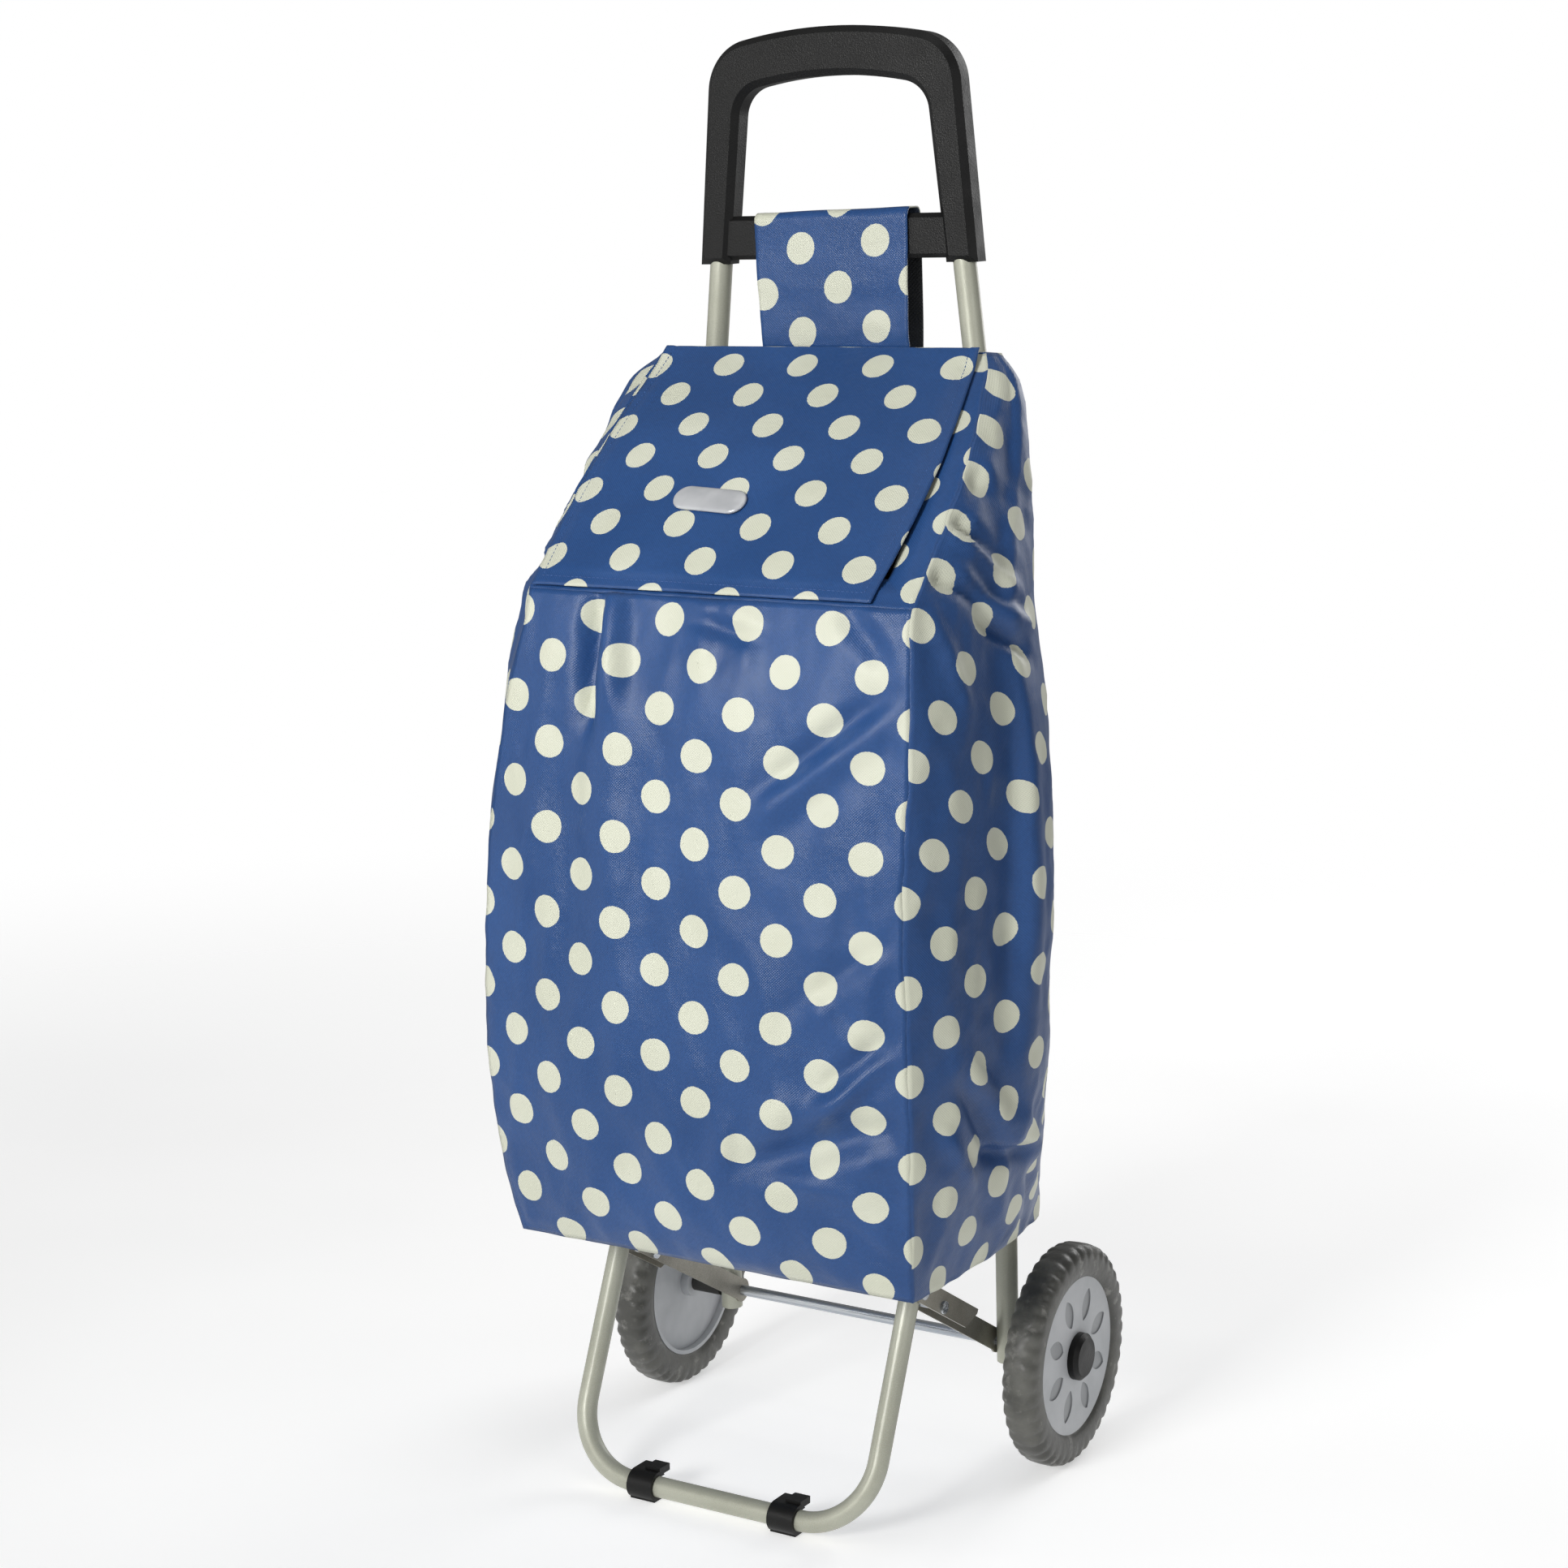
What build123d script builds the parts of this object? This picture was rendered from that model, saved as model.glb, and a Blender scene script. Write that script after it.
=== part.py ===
"""Folding shopping trolley: wheeled tube frame, folding front stand and a fabric bag.

Millimetres. +Z is up, -Y is the bag's front, X runs across. The origin is on the floor,
under the middle of the trolley's bounding box.
"""
from build123d import *
from math import atan2, degrees, hypot
import os

os.makedirs("parts", exist_ok=True)

# ---- driving dimensions -----------------------------------------------------------------
AXLE_Y = 88.0               # the axle, behind the origin
WHEEL_RADIUS = 80.0
WHEEL_X = 163.0             # wheel mid-plane
TYRE_WIDTH = 26.0
HUB_RADIUS = 57.0
HUB_FACE = 10.5             # outer hub face, from the wheel's mid-plane
CAP_RADIUS = 17.0
CAP_FACE = 18.0             # outer cap face, from the wheel's mid-plane

AXLE_RADIUS = 4.0
RUNNING_GAP = 0.05          # radial, between a shaft and the part that turns on it
TUBE_X = 118.0              # centre of each rear tube
TUBE_RADIUS = 8.0
TUBE_WALL = 1.2
LEAN = 3.23                 # degrees that the rear frame leans forward
TUBE_BEND_S = 577.0         # heights with S are along the leaning frame, from the axle
TUBE_TOP_S = 850.0
TUBE_TOP_X = 89.0
TUBE_BEND_RADIUS = 180.0

HANDLE_BOTTOM_S = 775.0
HANDLE_TOP_S = 934.5
HANDLE_CROWN = 13.0
HANDLE_DEPTH = 21.0
HANDLE_OUTER_BOTTOM = 110.0
HANDLE_OUTER_TOP = 97.0
HANDLE_INNER_BOTTOM = 86.0
HANDLE_INNER_TOP = 73.0
GRIP_THICKNESS = 33.0
CROSSBAR_LOW_S = 778.0
CROSSBAR_HIGH_S = 808.0
CROSSBAR_DEPTH = 16.0

LEG_RADIUS = 7.25
LEG_WALL = 1.2
LEG_PIVOT = (-150.0, 164.0)  # Y from the axle, Z from the floor
LEG_FOOT_Y = -213.0          # from the axle
LEG_BEND_RADIUS = 50.0
LEG_ABOVE_PIVOT = 6.0
CLIP_X = 57.0
CLIP_LENGTH = 20.0
CLIP_WALL = 3.0
UPPER_LIP = 15.0             # behind the middle of the bottom bar
LOWER_LIP = 9.0
CLIP_RIB_LENGTH = 12.0
CLIP_RIB_HEIGHT = 2.0

SHEET = 1.6                  # steel of the brackets
FLANGE_RADIUS = 8.0
AXLE_EYE_RADIUS = 9.0
INNER_FLANGE_X = 108.1
OUTER_FLANGE_X = 126.3
WEB_TAPER_START = 58.0       # along the bracket, from the axle
WEB_START = 95.0
WEB_TO_PIVOT = 22.0
OUTER_FLANGE_START = 82.0
STOP_PIN_FROM_PIVOT = 34.8
STOP_PIN_DROP = 3.0

FABRIC = 2.0
STRAP_HALF_WIDTH = 60.0
STRAP_THICKNESS = 1.5
FLAP_GAP = 2.5
FLAP_THICKNESS = 2.0
FLAP_HALF_TOP = 124.0
FLAP_HALF_BOTTOM = 126.0
HEM_WIDTH = 25.0

# The bag's cross sections. Half widths are at the front seams, at the fullest part of the
# sides and at the back. Y values are from the axle. The crest is how far the front swells.
# A tuck under the flap draws the left front seam in, so the two sides differ.
BAG_SECTIONS = [
    # Z, front half, side half, back half, front Y, side Y, back Y, crest, left front, left side
    (184.0, 160.0, 161.0, 149.0, -226.0, -120.0, -15.0, 2.0, 150.0, 152.0),
    (235.0, 162.0, 182.0, 150.0, -232.0, -120.0, -18.0, 12.0, 162.0, 182.0),
    (320.0, 164.0, 198.0, 152.0, -241.0, -120.0, -23.0, 16.0, 168.0, 198.0),
    (450.0, 161.0, 203.0, 152.0, -245.0, -120.0, -30.0, 14.0, 162.0, 203.0),
    (560.0, 164.0, 198.0, 148.0, -243.0, -120.0, -36.0, 11.0, 146.0, 196.0),
    (637.0, 160.0, 188.0, 142.0, -235.0, -115.0, -41.0, 0.0, 131.0, 182.0),
    (715.0, 153.0, 172.0, 136.0, -153.0, -95.0, -46.0, 0.0, 137.0, 170.0),
    (770.0, 139.0, 152.0, 131.0, -95.2, -72.0, -49.0, 0.0, 133.0, 158.0),
    (793.0, 128.0, 132.0, 128.0, -71.0, -60.0, -50.0, 0.0, 128.0, 132.0),
]
MOUTH_SECTION = 5            # index of the section at the mouth's low edge
BAG_BOTTOM_Z = BAG_SECTIONS[0][0]
MOUTH_LOW = (BAG_SECTIONS[MOUTH_SECTION][4], BAG_SECTIONS[MOUTH_SECTION][0])
MOUTH_HIGH = (BAG_SECTIONS[-1][4], BAG_SECTIONS[-1][0])

AXLE_Z = WHEEL_RADIUS
SIDES = {"left": -1, "right": 1}


# ---- helpers ----------------------------------------------------------------------------
def save(shape, node):
    export_step(shape, f"parts/{node}.step")


def lean(shape):
    """Puts a shape made upright over the axle, with Z as S, into the leaning rear frame."""
    return Location((0, AXLE_Y, AXLE_Z), (1, 0, 0), LEAN) * shape


def rod(start_x, end_x, radius, y=0.0, z=0.0):
    """A cylinder along X."""
    low = min(start_x, end_x)
    return Pos(low, y, z) * Rot(0, 90, 0) * Cylinder(
        radius, abs(end_x - start_x), align=(Align.CENTER, Align.CENTER, Align.MIN)
    )


def rod_y(x, z, start_y, end_y, radius):
    """A cylinder along Y."""
    return Pos(x, end_y, z) * Rot(90, 0, 0) * Cylinder(
        radius, end_y - start_y, align=(Align.CENTER, Align.CENTER, Align.MIN)
    )


def block(low, high):
    size = [h - l for l, h in zip(low, high)]
    return Pos(*low) * Box(*size, align=(Align.MIN, Align.MIN, Align.MIN))


def side_plate(outline, low_x, thickness):
    """Extrudes a closed outline of (Y, Z) points along X."""
    face = Plane.YZ.offset(low_x) * make_face(Polyline(*outline, close=True))
    return extrude(face, thickness)


def tube_along(path, radius, wall):
    """A round tube that follows a path."""
    section = Plane(origin=path @ 0, z_dir=path % 0)
    outer = sweep(section * Circle(radius), path=path)
    inner = sweep(section * Circle(radius - wall), path=path)
    return outer - inner


# ---- rear frame -------------------------------------------------------------------------
TUBE_FOOT_S = -14.0
BRACE_S = 350.0
BRACE_HALF_HEIGHT = 10.0
RIVET_RADIUS = 2.0
SCREW_S = 790.0


def rear_tube(side):
    path = FilletPolyline(
        (side * TUBE_X, 0, TUBE_FOOT_S),
        (side * TUBE_X, 0, TUBE_BEND_S),
        (side * TUBE_TOP_X, 0, TUBE_TOP_S),
        radius=TUBE_BEND_RADIUS,
    )
    tube = tube_along(path, TUBE_RADIUS, TUBE_WALL)
    tube -= rod(side * (TUBE_X - 12), side * (TUBE_X + 12), AXLE_RADIUS)
    tube -= rod_y(side * TUBE_X, BRACE_S, 0, 12, RIVET_RADIUS)
    tube -= screw_shank(side)
    return lean(tube)


def cross_brace():
    """Flat steel strip across the backs of the rear tubes."""
    half_length = TUBE_X + 10
    strip = block(
        (-half_length, TUBE_RADIUS + 0.05, BRACE_S - BRACE_HALF_HEIGHT),
        (half_length, TUBE_RADIUS + 2.05, BRACE_S + BRACE_HALF_HEIGHT),
    )
    strip = fillet(strip.edges().filter_by(Axis.Y), 6)
    for side in SIDES.values():
        strip -= rod_y(side * TUBE_X, BRACE_S, 0, 12, RIVET_RADIUS)
    return lean(strip)


def brace_rivets():
    rivets = []
    for side in SIDES.values():
        shank = rod_y(side * TUBE_X, BRACE_S, TUBE_RADIUS - TUBE_WALL - 1, TUBE_RADIUS + 2.05, RIVET_RADIUS)
        head = rod_y(side * TUBE_X, BRACE_S, TUBE_RADIUS + 2.05, TUBE_RADIUS + 3.6, 4.0)
        head = chamfer(head.edges().sort_by(Axis.Y)[-1], 0.8)
        rivets.append(lean(shank + head))
    return Compound(rivets)


AXLE_END_X = WHEEL_X + 16.0
NUT_X = WHEEL_X + 13.6
NUT_THICKNESS = 1.4
HUB_BOSS_IN = WHEEL_X - 12.6
HUB_BOSS_OUT = WHEEL_X + 13.0


def axle():
    shaft = rod(-AXLE_END_X, AXLE_END_X, AXLE_RADIUS)
    shaft = chamfer(shaft.edges(), 0.8)
    return Pos(0, AXLE_Y, AXLE_Z) * shaft


def axle_clips():
    """Push-on retaining nuts that keep the wheels on the axle."""
    clips = []
    for side in SIDES.values():
        clip = rod(side * NUT_X, side * (NUT_X + NUT_THICKNESS), 8.0, AXLE_Y, AXLE_Z)
        clip -= rod(side * (NUT_X - 1), side * (NUT_X + 3), AXLE_RADIUS, AXLE_Y, AXLE_Z)
        clips.append(clip)
    return Compound(clips)


def wheel_spacers():
    """Sleeves between each rear tube and its wheel."""
    sleeves = []
    for side in SIDES.values():
        inner = side * (TUBE_X + TUBE_RADIUS + 0.3)
        outer = side * (HUB_BOSS_IN - 0.4)
        sleeve = rod(inner, outer, 7.0, AXLE_Y, AXLE_Z)
        sleeve -= rod(side * 120, side * 160, AXLE_RADIUS, AXLE_Y, AXLE_Z)
        sleeves.append(sleeve)
    return Compound(sleeves)


# ---- handle -----------------------------------------------------------------------------
def crowned_outline(half_bottom, half_top, bottom_s, shoulder_s, crown, corner_radius):
    """A face in the XZ plane: straight sloping sides, a crowned top and round shoulders."""
    left = Line((-half_bottom, bottom_s), (-half_top, shoulder_s))
    top = ThreePointArc((-half_top, shoulder_s), (0, shoulder_s + crown), (half_top, shoulder_s))
    right = Line((half_top, shoulder_s), (half_bottom, bottom_s))
    base = Line((half_bottom, bottom_s), (-half_bottom, bottom_s))
    face = make_face(Curve() + [left, top, right, base])
    shoulders = face.vertices().sort_by(Axis.Y)[-2:]
    return fillet(shoulders, corner_radius)


def slab(face, depth):
    """Extrudes a face drawn as (X, S) to both sides of the frame's plane."""
    return extrude(Plane.XZ * face, depth / 2, both=True)


def handle():
    shoulder_s = HANDLE_TOP_S - HANDLE_CROWN
    outer = crowned_outline(
        HANDLE_OUTER_BOTTOM, HANDLE_OUTER_TOP, HANDLE_BOTTOM_S, shoulder_s, HANDLE_CROWN, 36
    )
    inner = crowned_outline(
        HANDLE_INNER_BOTTOM + 0.3,
        HANDLE_INNER_TOP,
        HANDLE_BOTTOM_S - 3,
        shoulder_s - GRIP_THICKNESS + 4,
        HANDLE_CROWN - 4,
        22,
    )
    bow = slab(outer - inner, HANDLE_DEPTH)
    rims = bow.faces().filter_by(Axis.Y).edges()
    bow = chamfer(rims, 4.5)
    bar_half = (HANDLE_INNER_BOTTOM + HANDLE_OUTER_BOTTOM) / 2
    bar = block(
        (-bar_half + 6, -CROSSBAR_DEPTH / 2, CROSSBAR_LOW_S),
        (bar_half - 6, CROSSBAR_DEPTH / 2, CROSSBAR_HIGH_S),
    )
    bar = chamfer(bar.edges().filter_by(Axis.X), 3)
    body = bow + bar
    for side in SIDES.values():
        socket = FilletPolyline(
            (side * TUBE_X, 0, TUBE_BEND_S - 40),
            (side * TUBE_X, 0, TUBE_BEND_S),
            (side * TUBE_TOP_X, 0, TUBE_TOP_S),
            radius=TUBE_BEND_RADIUS,
        )
        section = Plane(origin=socket @ 0, z_dir=socket % 0)
        body -= sweep(section * Circle(TUBE_RADIUS), path=socket)
        body -= screw_shank(side)
    return lean(body)


def tube_x_at(height_s):
    """Centre of a rear tube above its bend."""
    share = (height_s - TUBE_BEND_S) / (TUBE_TOP_S - TUBE_BEND_S)
    return TUBE_X + (TUBE_TOP_X - TUBE_X) * share


def screw_shank(side):
    return rod_y(side * tube_x_at(SCREW_S), SCREW_S, 4, HANDLE_DEPTH / 2, 2.0)


def handle_screws():
    """Screws through the back of each handle leg into the tube."""
    screws = []
    for side in SIDES.values():
        x = side * tube_x_at(SCREW_S)
        shank = screw_shank(side)
        head = rod_y(x, SCREW_S, HANDLE_DEPTH / 2, HANDLE_DEPTH / 2 + 1.8, 3.8)
        slot = block((x - 4, HANDLE_DEPTH / 2 + 1.0, SCREW_S - 0.5), (x + 4, 16, SCREW_S + 0.5))
        screws.append(lean(shank + head - slot))
    return Compound(screws)


# ---- folding stand ----------------------------------------------------------------------
BRACKET_LENGTH = hypot(LEG_PIVOT[0], LEG_PIVOT[1] - AXLE_Z)
BRACKET_RISE = degrees(atan2(LEG_PIVOT[1] - AXLE_Z, -LEG_PIVOT[0]))
PIVOT_RADIUS = 3.0
STOP_PIN_RADIUS = 2.5
STOP_PIN_AT = (-BRACKET_LENGTH + STOP_PIN_FROM_PIVOT, -STOP_PIN_DROP)


def on_bracket(shape):
    """Puts a shape drawn along -Y from the axle, with Z as its height, on the bracket's slope."""
    return Location((0, AXLE_Y, AXLE_Z), (1, 0, 0), -BRACKET_RISE) * shape


def flange(low_x, start):
    """One cheek of the bracket, from start to the leg's pivot, with a round nose."""
    cheek = side_plate(
        [
            (-start, -FLANGE_RADIUS),
            (-BRACKET_LENGTH, -FLANGE_RADIUS),
            (-BRACKET_LENGTH, FLANGE_RADIUS),
            (-start, FLANGE_RADIUS),
        ],
        low_x,
        SHEET,
    )
    cheek += rod(low_x, low_x + SHEET, FLANGE_RADIUS, -BRACKET_LENGTH, 0)
    return cheek


def bracket(side):
    """Channel with an inner cheek to the axle, a shorter outer cheek and a tapered web."""
    low_inner = INNER_FLANGE_X if side > 0 else -INNER_FLANGE_X - SHEET
    low_outer = OUTER_FLANGE_X if side > 0 else -OUTER_FLANGE_X - SHEET
    inner = flange(low_inner, 0)
    inner += rod(low_inner, low_inner + SHEET, AXLE_EYE_RADIUS)
    outer = flange(low_outer, OUTER_FLANGE_START)
    outer -= Pos(low_outer, -OUTER_FLANGE_START, -FLANGE_RADIUS) * Rot(45, 0, 0) * block((-1, -9, -9), (3, 9, 9))
    inner_edge = side * INNER_FLANGE_X
    outer_edge = side * (OUTER_FLANGE_X + SHEET)
    web_end = WEB_TO_PIVOT - BRACKET_LENGTH
    web_face = make_face(
        Polyline(
            (inner_edge, -WEB_TAPER_START),
            (inner_edge, web_end),
            (outer_edge, web_end),
            (outer_edge, -WEB_START),
            (inner_edge + side * SHEET, -WEB_TAPER_START),
            close=True,
        )
    )
    web = Pos(0, 0, FLANGE_RADIUS - SHEET) * extrude(web_face, SHEET, dir=(0, 0, 1))
    channel = inner + outer + web
    channel -= rod(side * 100, side * 135, AXLE_RADIUS + RUNNING_GAP)
    channel -= rod(side * 100, side * 135, PIVOT_RADIUS, -BRACKET_LENGTH, 0)
    channel -= rod(side * 100, side * 135, STOP_PIN_RADIUS, *STOP_PIN_AT)
    return on_bracket(channel)


def riveted_pins(radius, head_radius, place):
    """A headed pin through both cheeks of each bracket."""
    pins = []
    for side in SIDES.values():
        inside = INNER_FLANGE_X
        outside = OUTER_FLANGE_X + SHEET
        pin = rod(side * inside, side * outside, radius, *place)
        for face, step in ((inside, -1.8), (outside, 1.8)):
            head = rod(side * face, side * (face + step), head_radius, *place)
            pin += head
        pins.append(on_bracket(pin))
    return Compound(pins)


def leg_tube():
    pivot_y, pivot_z = LEG_PIVOT
    foot_z = LEG_RADIUS + CLIP_WALL
    reach = hypot(pivot_y - LEG_FOOT_Y, pivot_z - foot_z)
    slope_y = (pivot_y - LEG_FOOT_Y) / reach
    slope_z = (pivot_z - foot_z) / reach
    top_y = AXLE_Y + pivot_y + slope_y * LEG_ABOVE_PIVOT
    top_z = pivot_z + slope_z * LEG_ABOVE_PIVOT
    foot_y = AXLE_Y + LEG_FOOT_Y
    path = FilletPolyline(
        (TUBE_X, top_y, top_z),
        (TUBE_X, foot_y, foot_z),
        (-TUBE_X, foot_y, foot_z),
        (-TUBE_X, top_y, top_z),
        radius=LEG_BEND_RADIUS,
    )
    tube = tube_along(path, LEG_RADIUS, LEG_WALL)
    for side in SIDES.values():
        hole = rod(side * (TUBE_X - 10), side * (TUBE_X + 10), PIVOT_RADIUS + RUNNING_GAP)
        tube -= Pos(0, AXLE_Y + pivot_y, pivot_z) * hole
    return tube


def foot_clip(side):
    """Snap-on plastic foot round the bottom bar: open at the back, with a long upper lip."""
    start = side * CLIP_X - CLIP_LENGTH / 2
    end = start + CLIP_LENGTH
    centre_y = AXLE_Y + LEG_FOOT_Y
    centre_z = LEG_RADIUS + CLIP_WALL
    shell_radius = LEG_RADIUS + CLIP_WALL
    clip = rod(start, end, shell_radius, centre_y, centre_z)
    clip += block((start, centre_y, 0), (end, centre_y + LOWER_LIP, CLIP_WALL))
    clip += block(
        (start, centre_y, centre_z + LEG_RADIUS),
        (end, centre_y + UPPER_LIP, centre_z + shell_radius),
    )
    clip += block((start, centre_y - 5, 0), (end, centre_y + 5, CLIP_WALL))
    rib_start = end - CLIP_RIB_LENGTH
    clip += block(
        (rib_start, centre_y + 2, centre_z + LEG_RADIUS),
        (rib_start + CLIP_RIB_LENGTH, centre_y + UPPER_LIP, centre_z + shell_radius + CLIP_RIB_HEIGHT),
    )
    clip -= rod(start - 1, end + 1, LEG_RADIUS + RUNNING_GAP, centre_y, centre_z)
    slot_half = LEG_RADIUS - 1.2
    clip -= block(
        (start - 1, centre_y, centre_z - slot_half), (end + 1, centre_y + 30, centre_z + slot_half)
    )
    return clip


# ---- wheels -----------------------------------------------------------------------------
RECESS_COUNT = 8
PLATE_FACE = -6.0            # inner hub plate, from the wheel's mid-plane
PLATE_THICKNESS = 2.0


def turned(profile):
    """Revolves an outline of (radius, X from the wheel's mid-plane) about the wheel's axis."""
    face = make_face(Polyline(*profile, close=True))
    return Rot(0, 90, 0) * revolve(Plane.XZ * face, Axis.Z, 360)


def tyre():
    half = TYRE_WIDTH / 2
    profile = [
        (HUB_RADIUS, -half + 2),
        (HUB_RADIUS + 4, -half),
        (WHEEL_RADIUS - 5, -half),
        (WHEEL_RADIUS - 1.5, -half + 2.5),
        (WHEEL_RADIUS, -half + 6),
        (WHEEL_RADIUS, half - 6),
        (WHEEL_RADIUS - 1.5, half - 2.5),
        (WHEEL_RADIUS - 5, half),
        (HUB_RADIUS + 4, half),
        (HUB_RADIUS, half - 2),
    ]
    return turned(profile)


def hub():
    """Moulded wheel disc: rim, face with leaf-shaped recesses, and centre boss."""
    boss_in = HUB_BOSS_IN - WHEEL_X
    boss_out = HUB_BOSS_OUT - WHEEL_X
    bore = AXLE_RADIUS + RUNNING_GAP
    face_back = HUB_FACE - 3
    profile = [
        (bore, boss_in),
        (12, boss_in),
        (12, face_back),
        (HUB_RADIUS - 3, face_back),
        (HUB_RADIUS - 3, -11),
        (HUB_RADIUS, -11),
        (HUB_RADIUS, HUB_FACE),
        (CAP_RADIUS - 2.6, HUB_FACE),
        (11, boss_out),
        (bore, boss_out),
    ]
    disc = turned(profile)
    leaf = make_face(
        Curve()
        + [
            ThreePointArc((25, 0), (38, 6.5), (49, 0)),
            ThreePointArc((49, 0), (38, -6.5), (25, 0)),
        ]
    )
    for index in range(RECESS_COUNT):
        cutter = extrude(Plane.XY.offset(HUB_FACE - 1) * leaf, 3)
        disc -= Rot(360 / RECESS_COUNT * (index + 0.5), 0, 0) * Rot(0, 90, 0) * cutter
    return disc


def hub_plate():
    """Flat disc that closes the hub's inner side."""
    profile = [
        (12.1, PLATE_FACE),
        (HUB_RADIUS - 3.1, PLATE_FACE),
        (HUB_RADIUS - 3.1, PLATE_FACE + PLATE_THICKNESS),
        (12.1, PLATE_FACE + PLATE_THICKNESS),
    ]
    return turned(profile)


def hub_cap():
    profile = [
        (0, CAP_FACE),
        (CAP_RADIUS - 3, CAP_FACE),
        (CAP_RADIUS, CAP_FACE - 3),
        (CAP_RADIUS, HUB_FACE),
        (CAP_RADIUS - 2, HUB_FACE),
        (CAP_RADIUS - 2, CAP_FACE - 1.6),
        (0, CAP_FACE - 1.6),
    ]
    return turned(profile)


def at_wheel(shape, side):
    turn = Rot(0, 0, 0) if side > 0 else Rot(0, 0, 180)
    return Pos(side * WHEEL_X, AXLE_Y, AXLE_Z) * turn * shape


# ---- bag --------------------------------------------------------------------------------
def bag_body(inset):
    """The bag's solid shape, with every wall moved in by inset."""
    faces = []
    last = len(BAG_SECTIONS) - 1
    for index, section in enumerate(BAG_SECTIONS):
        z, front_half, side_half, back_half, front, side_y, back, crest, left_front, left_side = section
        if index == 0:
            z += inset
        if index == last:
            z -= inset
        front_y = AXLE_Y + front + inset * (1.5 if index > MOUTH_SECTION else 1)
        back_y = AXLE_Y + back - inset
        right = [
            (front_half - inset, front_y),
            (side_half - inset, AXLE_Y + side_y),
            (back_half - inset, back_y),
        ]
        left = [
            (inset - back_half, back_y),
            (inset - left_side, AXLE_Y + side_y),
            (inset - left_front, front_y),
        ]
        corners = [(x, y, z) for x, y in [(0, front_y - crest)] + right + left]
        faces.append(make_face(Polyline(*corners, close=True)))
    return loft(faces, ruled=True)


def mouth_point(along, above):
    """Y and Z of a point on the slanted mouth: along it from its low edge, and above it."""
    rise_y = MOUTH_HIGH[0] - MOUTH_LOW[0]
    rise_z = MOUTH_HIGH[1] - MOUTH_LOW[1]
    length = hypot(rise_y, rise_z)
    unit_y = rise_y / length
    unit_z = rise_z / length
    y = MOUTH_LOW[0] + unit_y * along - unit_z * above
    z = MOUTH_LOW[1] + unit_z * along + unit_y * above
    return AXLE_Y + y, z


MOUTH_LENGTH = hypot(MOUTH_HIGH[0] - MOUTH_LOW[0], MOUTH_HIGH[1] - MOUTH_LOW[1])
HUGE = 400.0


def bag_panels():
    """Cuts the bag's thin shell into its sewn panels."""
    shell = bag_body(0) - bag_body(FABRIC)
    base_cut = block((-HUGE, -HUGE, 0), (HUGE, HUGE, BAG_BOTTOM_Z + FABRIC))
    top_cut = block((-HUGE, -HUGE, MOUTH_HIGH[1] - FABRIC), (HUGE, HUGE, HUGE * 3))
    base = shell & base_cut
    top = shell & top_cut
    walls = shell - base_cut - top_cut

    back_outline = []
    for section in BAG_SECTIONS:
        back_outline.append((AXLE_Y + section[6] - FABRIC, section[0]))
    back_slab = side_plate(back_outline + [(HUGE, HUGE * 3), (HUGE, 0), (AXLE_Y - 17, 0)], -HUGE, 2 * HUGE)
    back = walls & back_slab
    walls = walls - back_slab

    lip = 2.5 * FABRIC
    slant_low = mouth_point(-30, -lip)
    slant_high = mouth_point(MOUTH_LENGTH + 30, -lip)
    above_slant = side_plate(
        [slant_low, slant_high, (slant_high[0], HUGE * 3), (-HUGE, HUGE * 3), (-HUGE, slant_low[1])],
        -HUGE,
        2 * HUGE,
    )
    half_inside = BAG_SECTIONS[-1][1] - 3 * FABRIC
    front_outline = []
    for section in BAG_SECTIONS[: MOUTH_SECTION + 1]:
        front_outline.append((AXLE_Y + section[4] + FABRIC, section[0]))
    front_slab = side_plate(
        front_outline + [(-HUGE, slant_low[1]), (-HUGE, 0), (front_outline[0][0], 0)], -HUGE, 2 * HUGE
    )
    mouth = walls & above_slant
    walls = walls - above_slant
    front = walls & front_slab
    walls = walls - front_slab

    opening_low = mouth_point(HEM_WIDTH, 40)
    opening_high = mouth_point(MOUTH_LENGTH - 8, 40)
    below_low = mouth_point(HEM_WIDTH, -40)
    below_high = mouth_point(MOUTH_LENGTH - 8, -40)
    hole = side_plate(
        [opening_low, opening_high, below_high, below_low], -half_inside + 10, 2 * half_inside - 20
    )
    mouth = mouth - hole
    panels = {
        "bag_base_panel": base,
        "bag_top_panel": top,
        "bag_back_panel": back,
        "bag_front_panel": front,
        "mouth_hem": mouth,
        "bag_side_left": walls & block((-HUGE, -HUGE, 0), (0, HUGE, HUGE * 3)),
        "bag_side_right": walls & block((0, -HUGE, 0), (HUGE, HUGE, HUGE * 3)),
    }
    return panels


def slanted_plate(half_low, half_high, along_low, along_high, above, thickness):
    """A flat plate over the mouth, wider at one end, square to the slant."""
    low_y, low_z = mouth_point(along_low, above)
    high_y, high_z = mouth_point(along_high, above)
    corners = [
        (-half_low, low_y, low_z),
        (half_low, low_y, low_z),
        (half_high, high_y, high_z),
        (-half_high, high_y, high_z),
    ]
    face = make_face(Polyline(*corners, close=True))
    up_y, up_z = mouth_point(0, 1)
    base_y, base_z = mouth_point(0, 0)
    return extrude(face, thickness, dir=(0, up_y - base_y, up_z - base_z))


FLAP_LOW = -3.0
TAPE_ALONG = 12.5
BADGE_ALONG = 77.0
BADGE_X = -18.5
BADGE_LENGTH = 57.0
BADGE_WIDTH = 20.5
BADGE_TILT = -4.0


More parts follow.
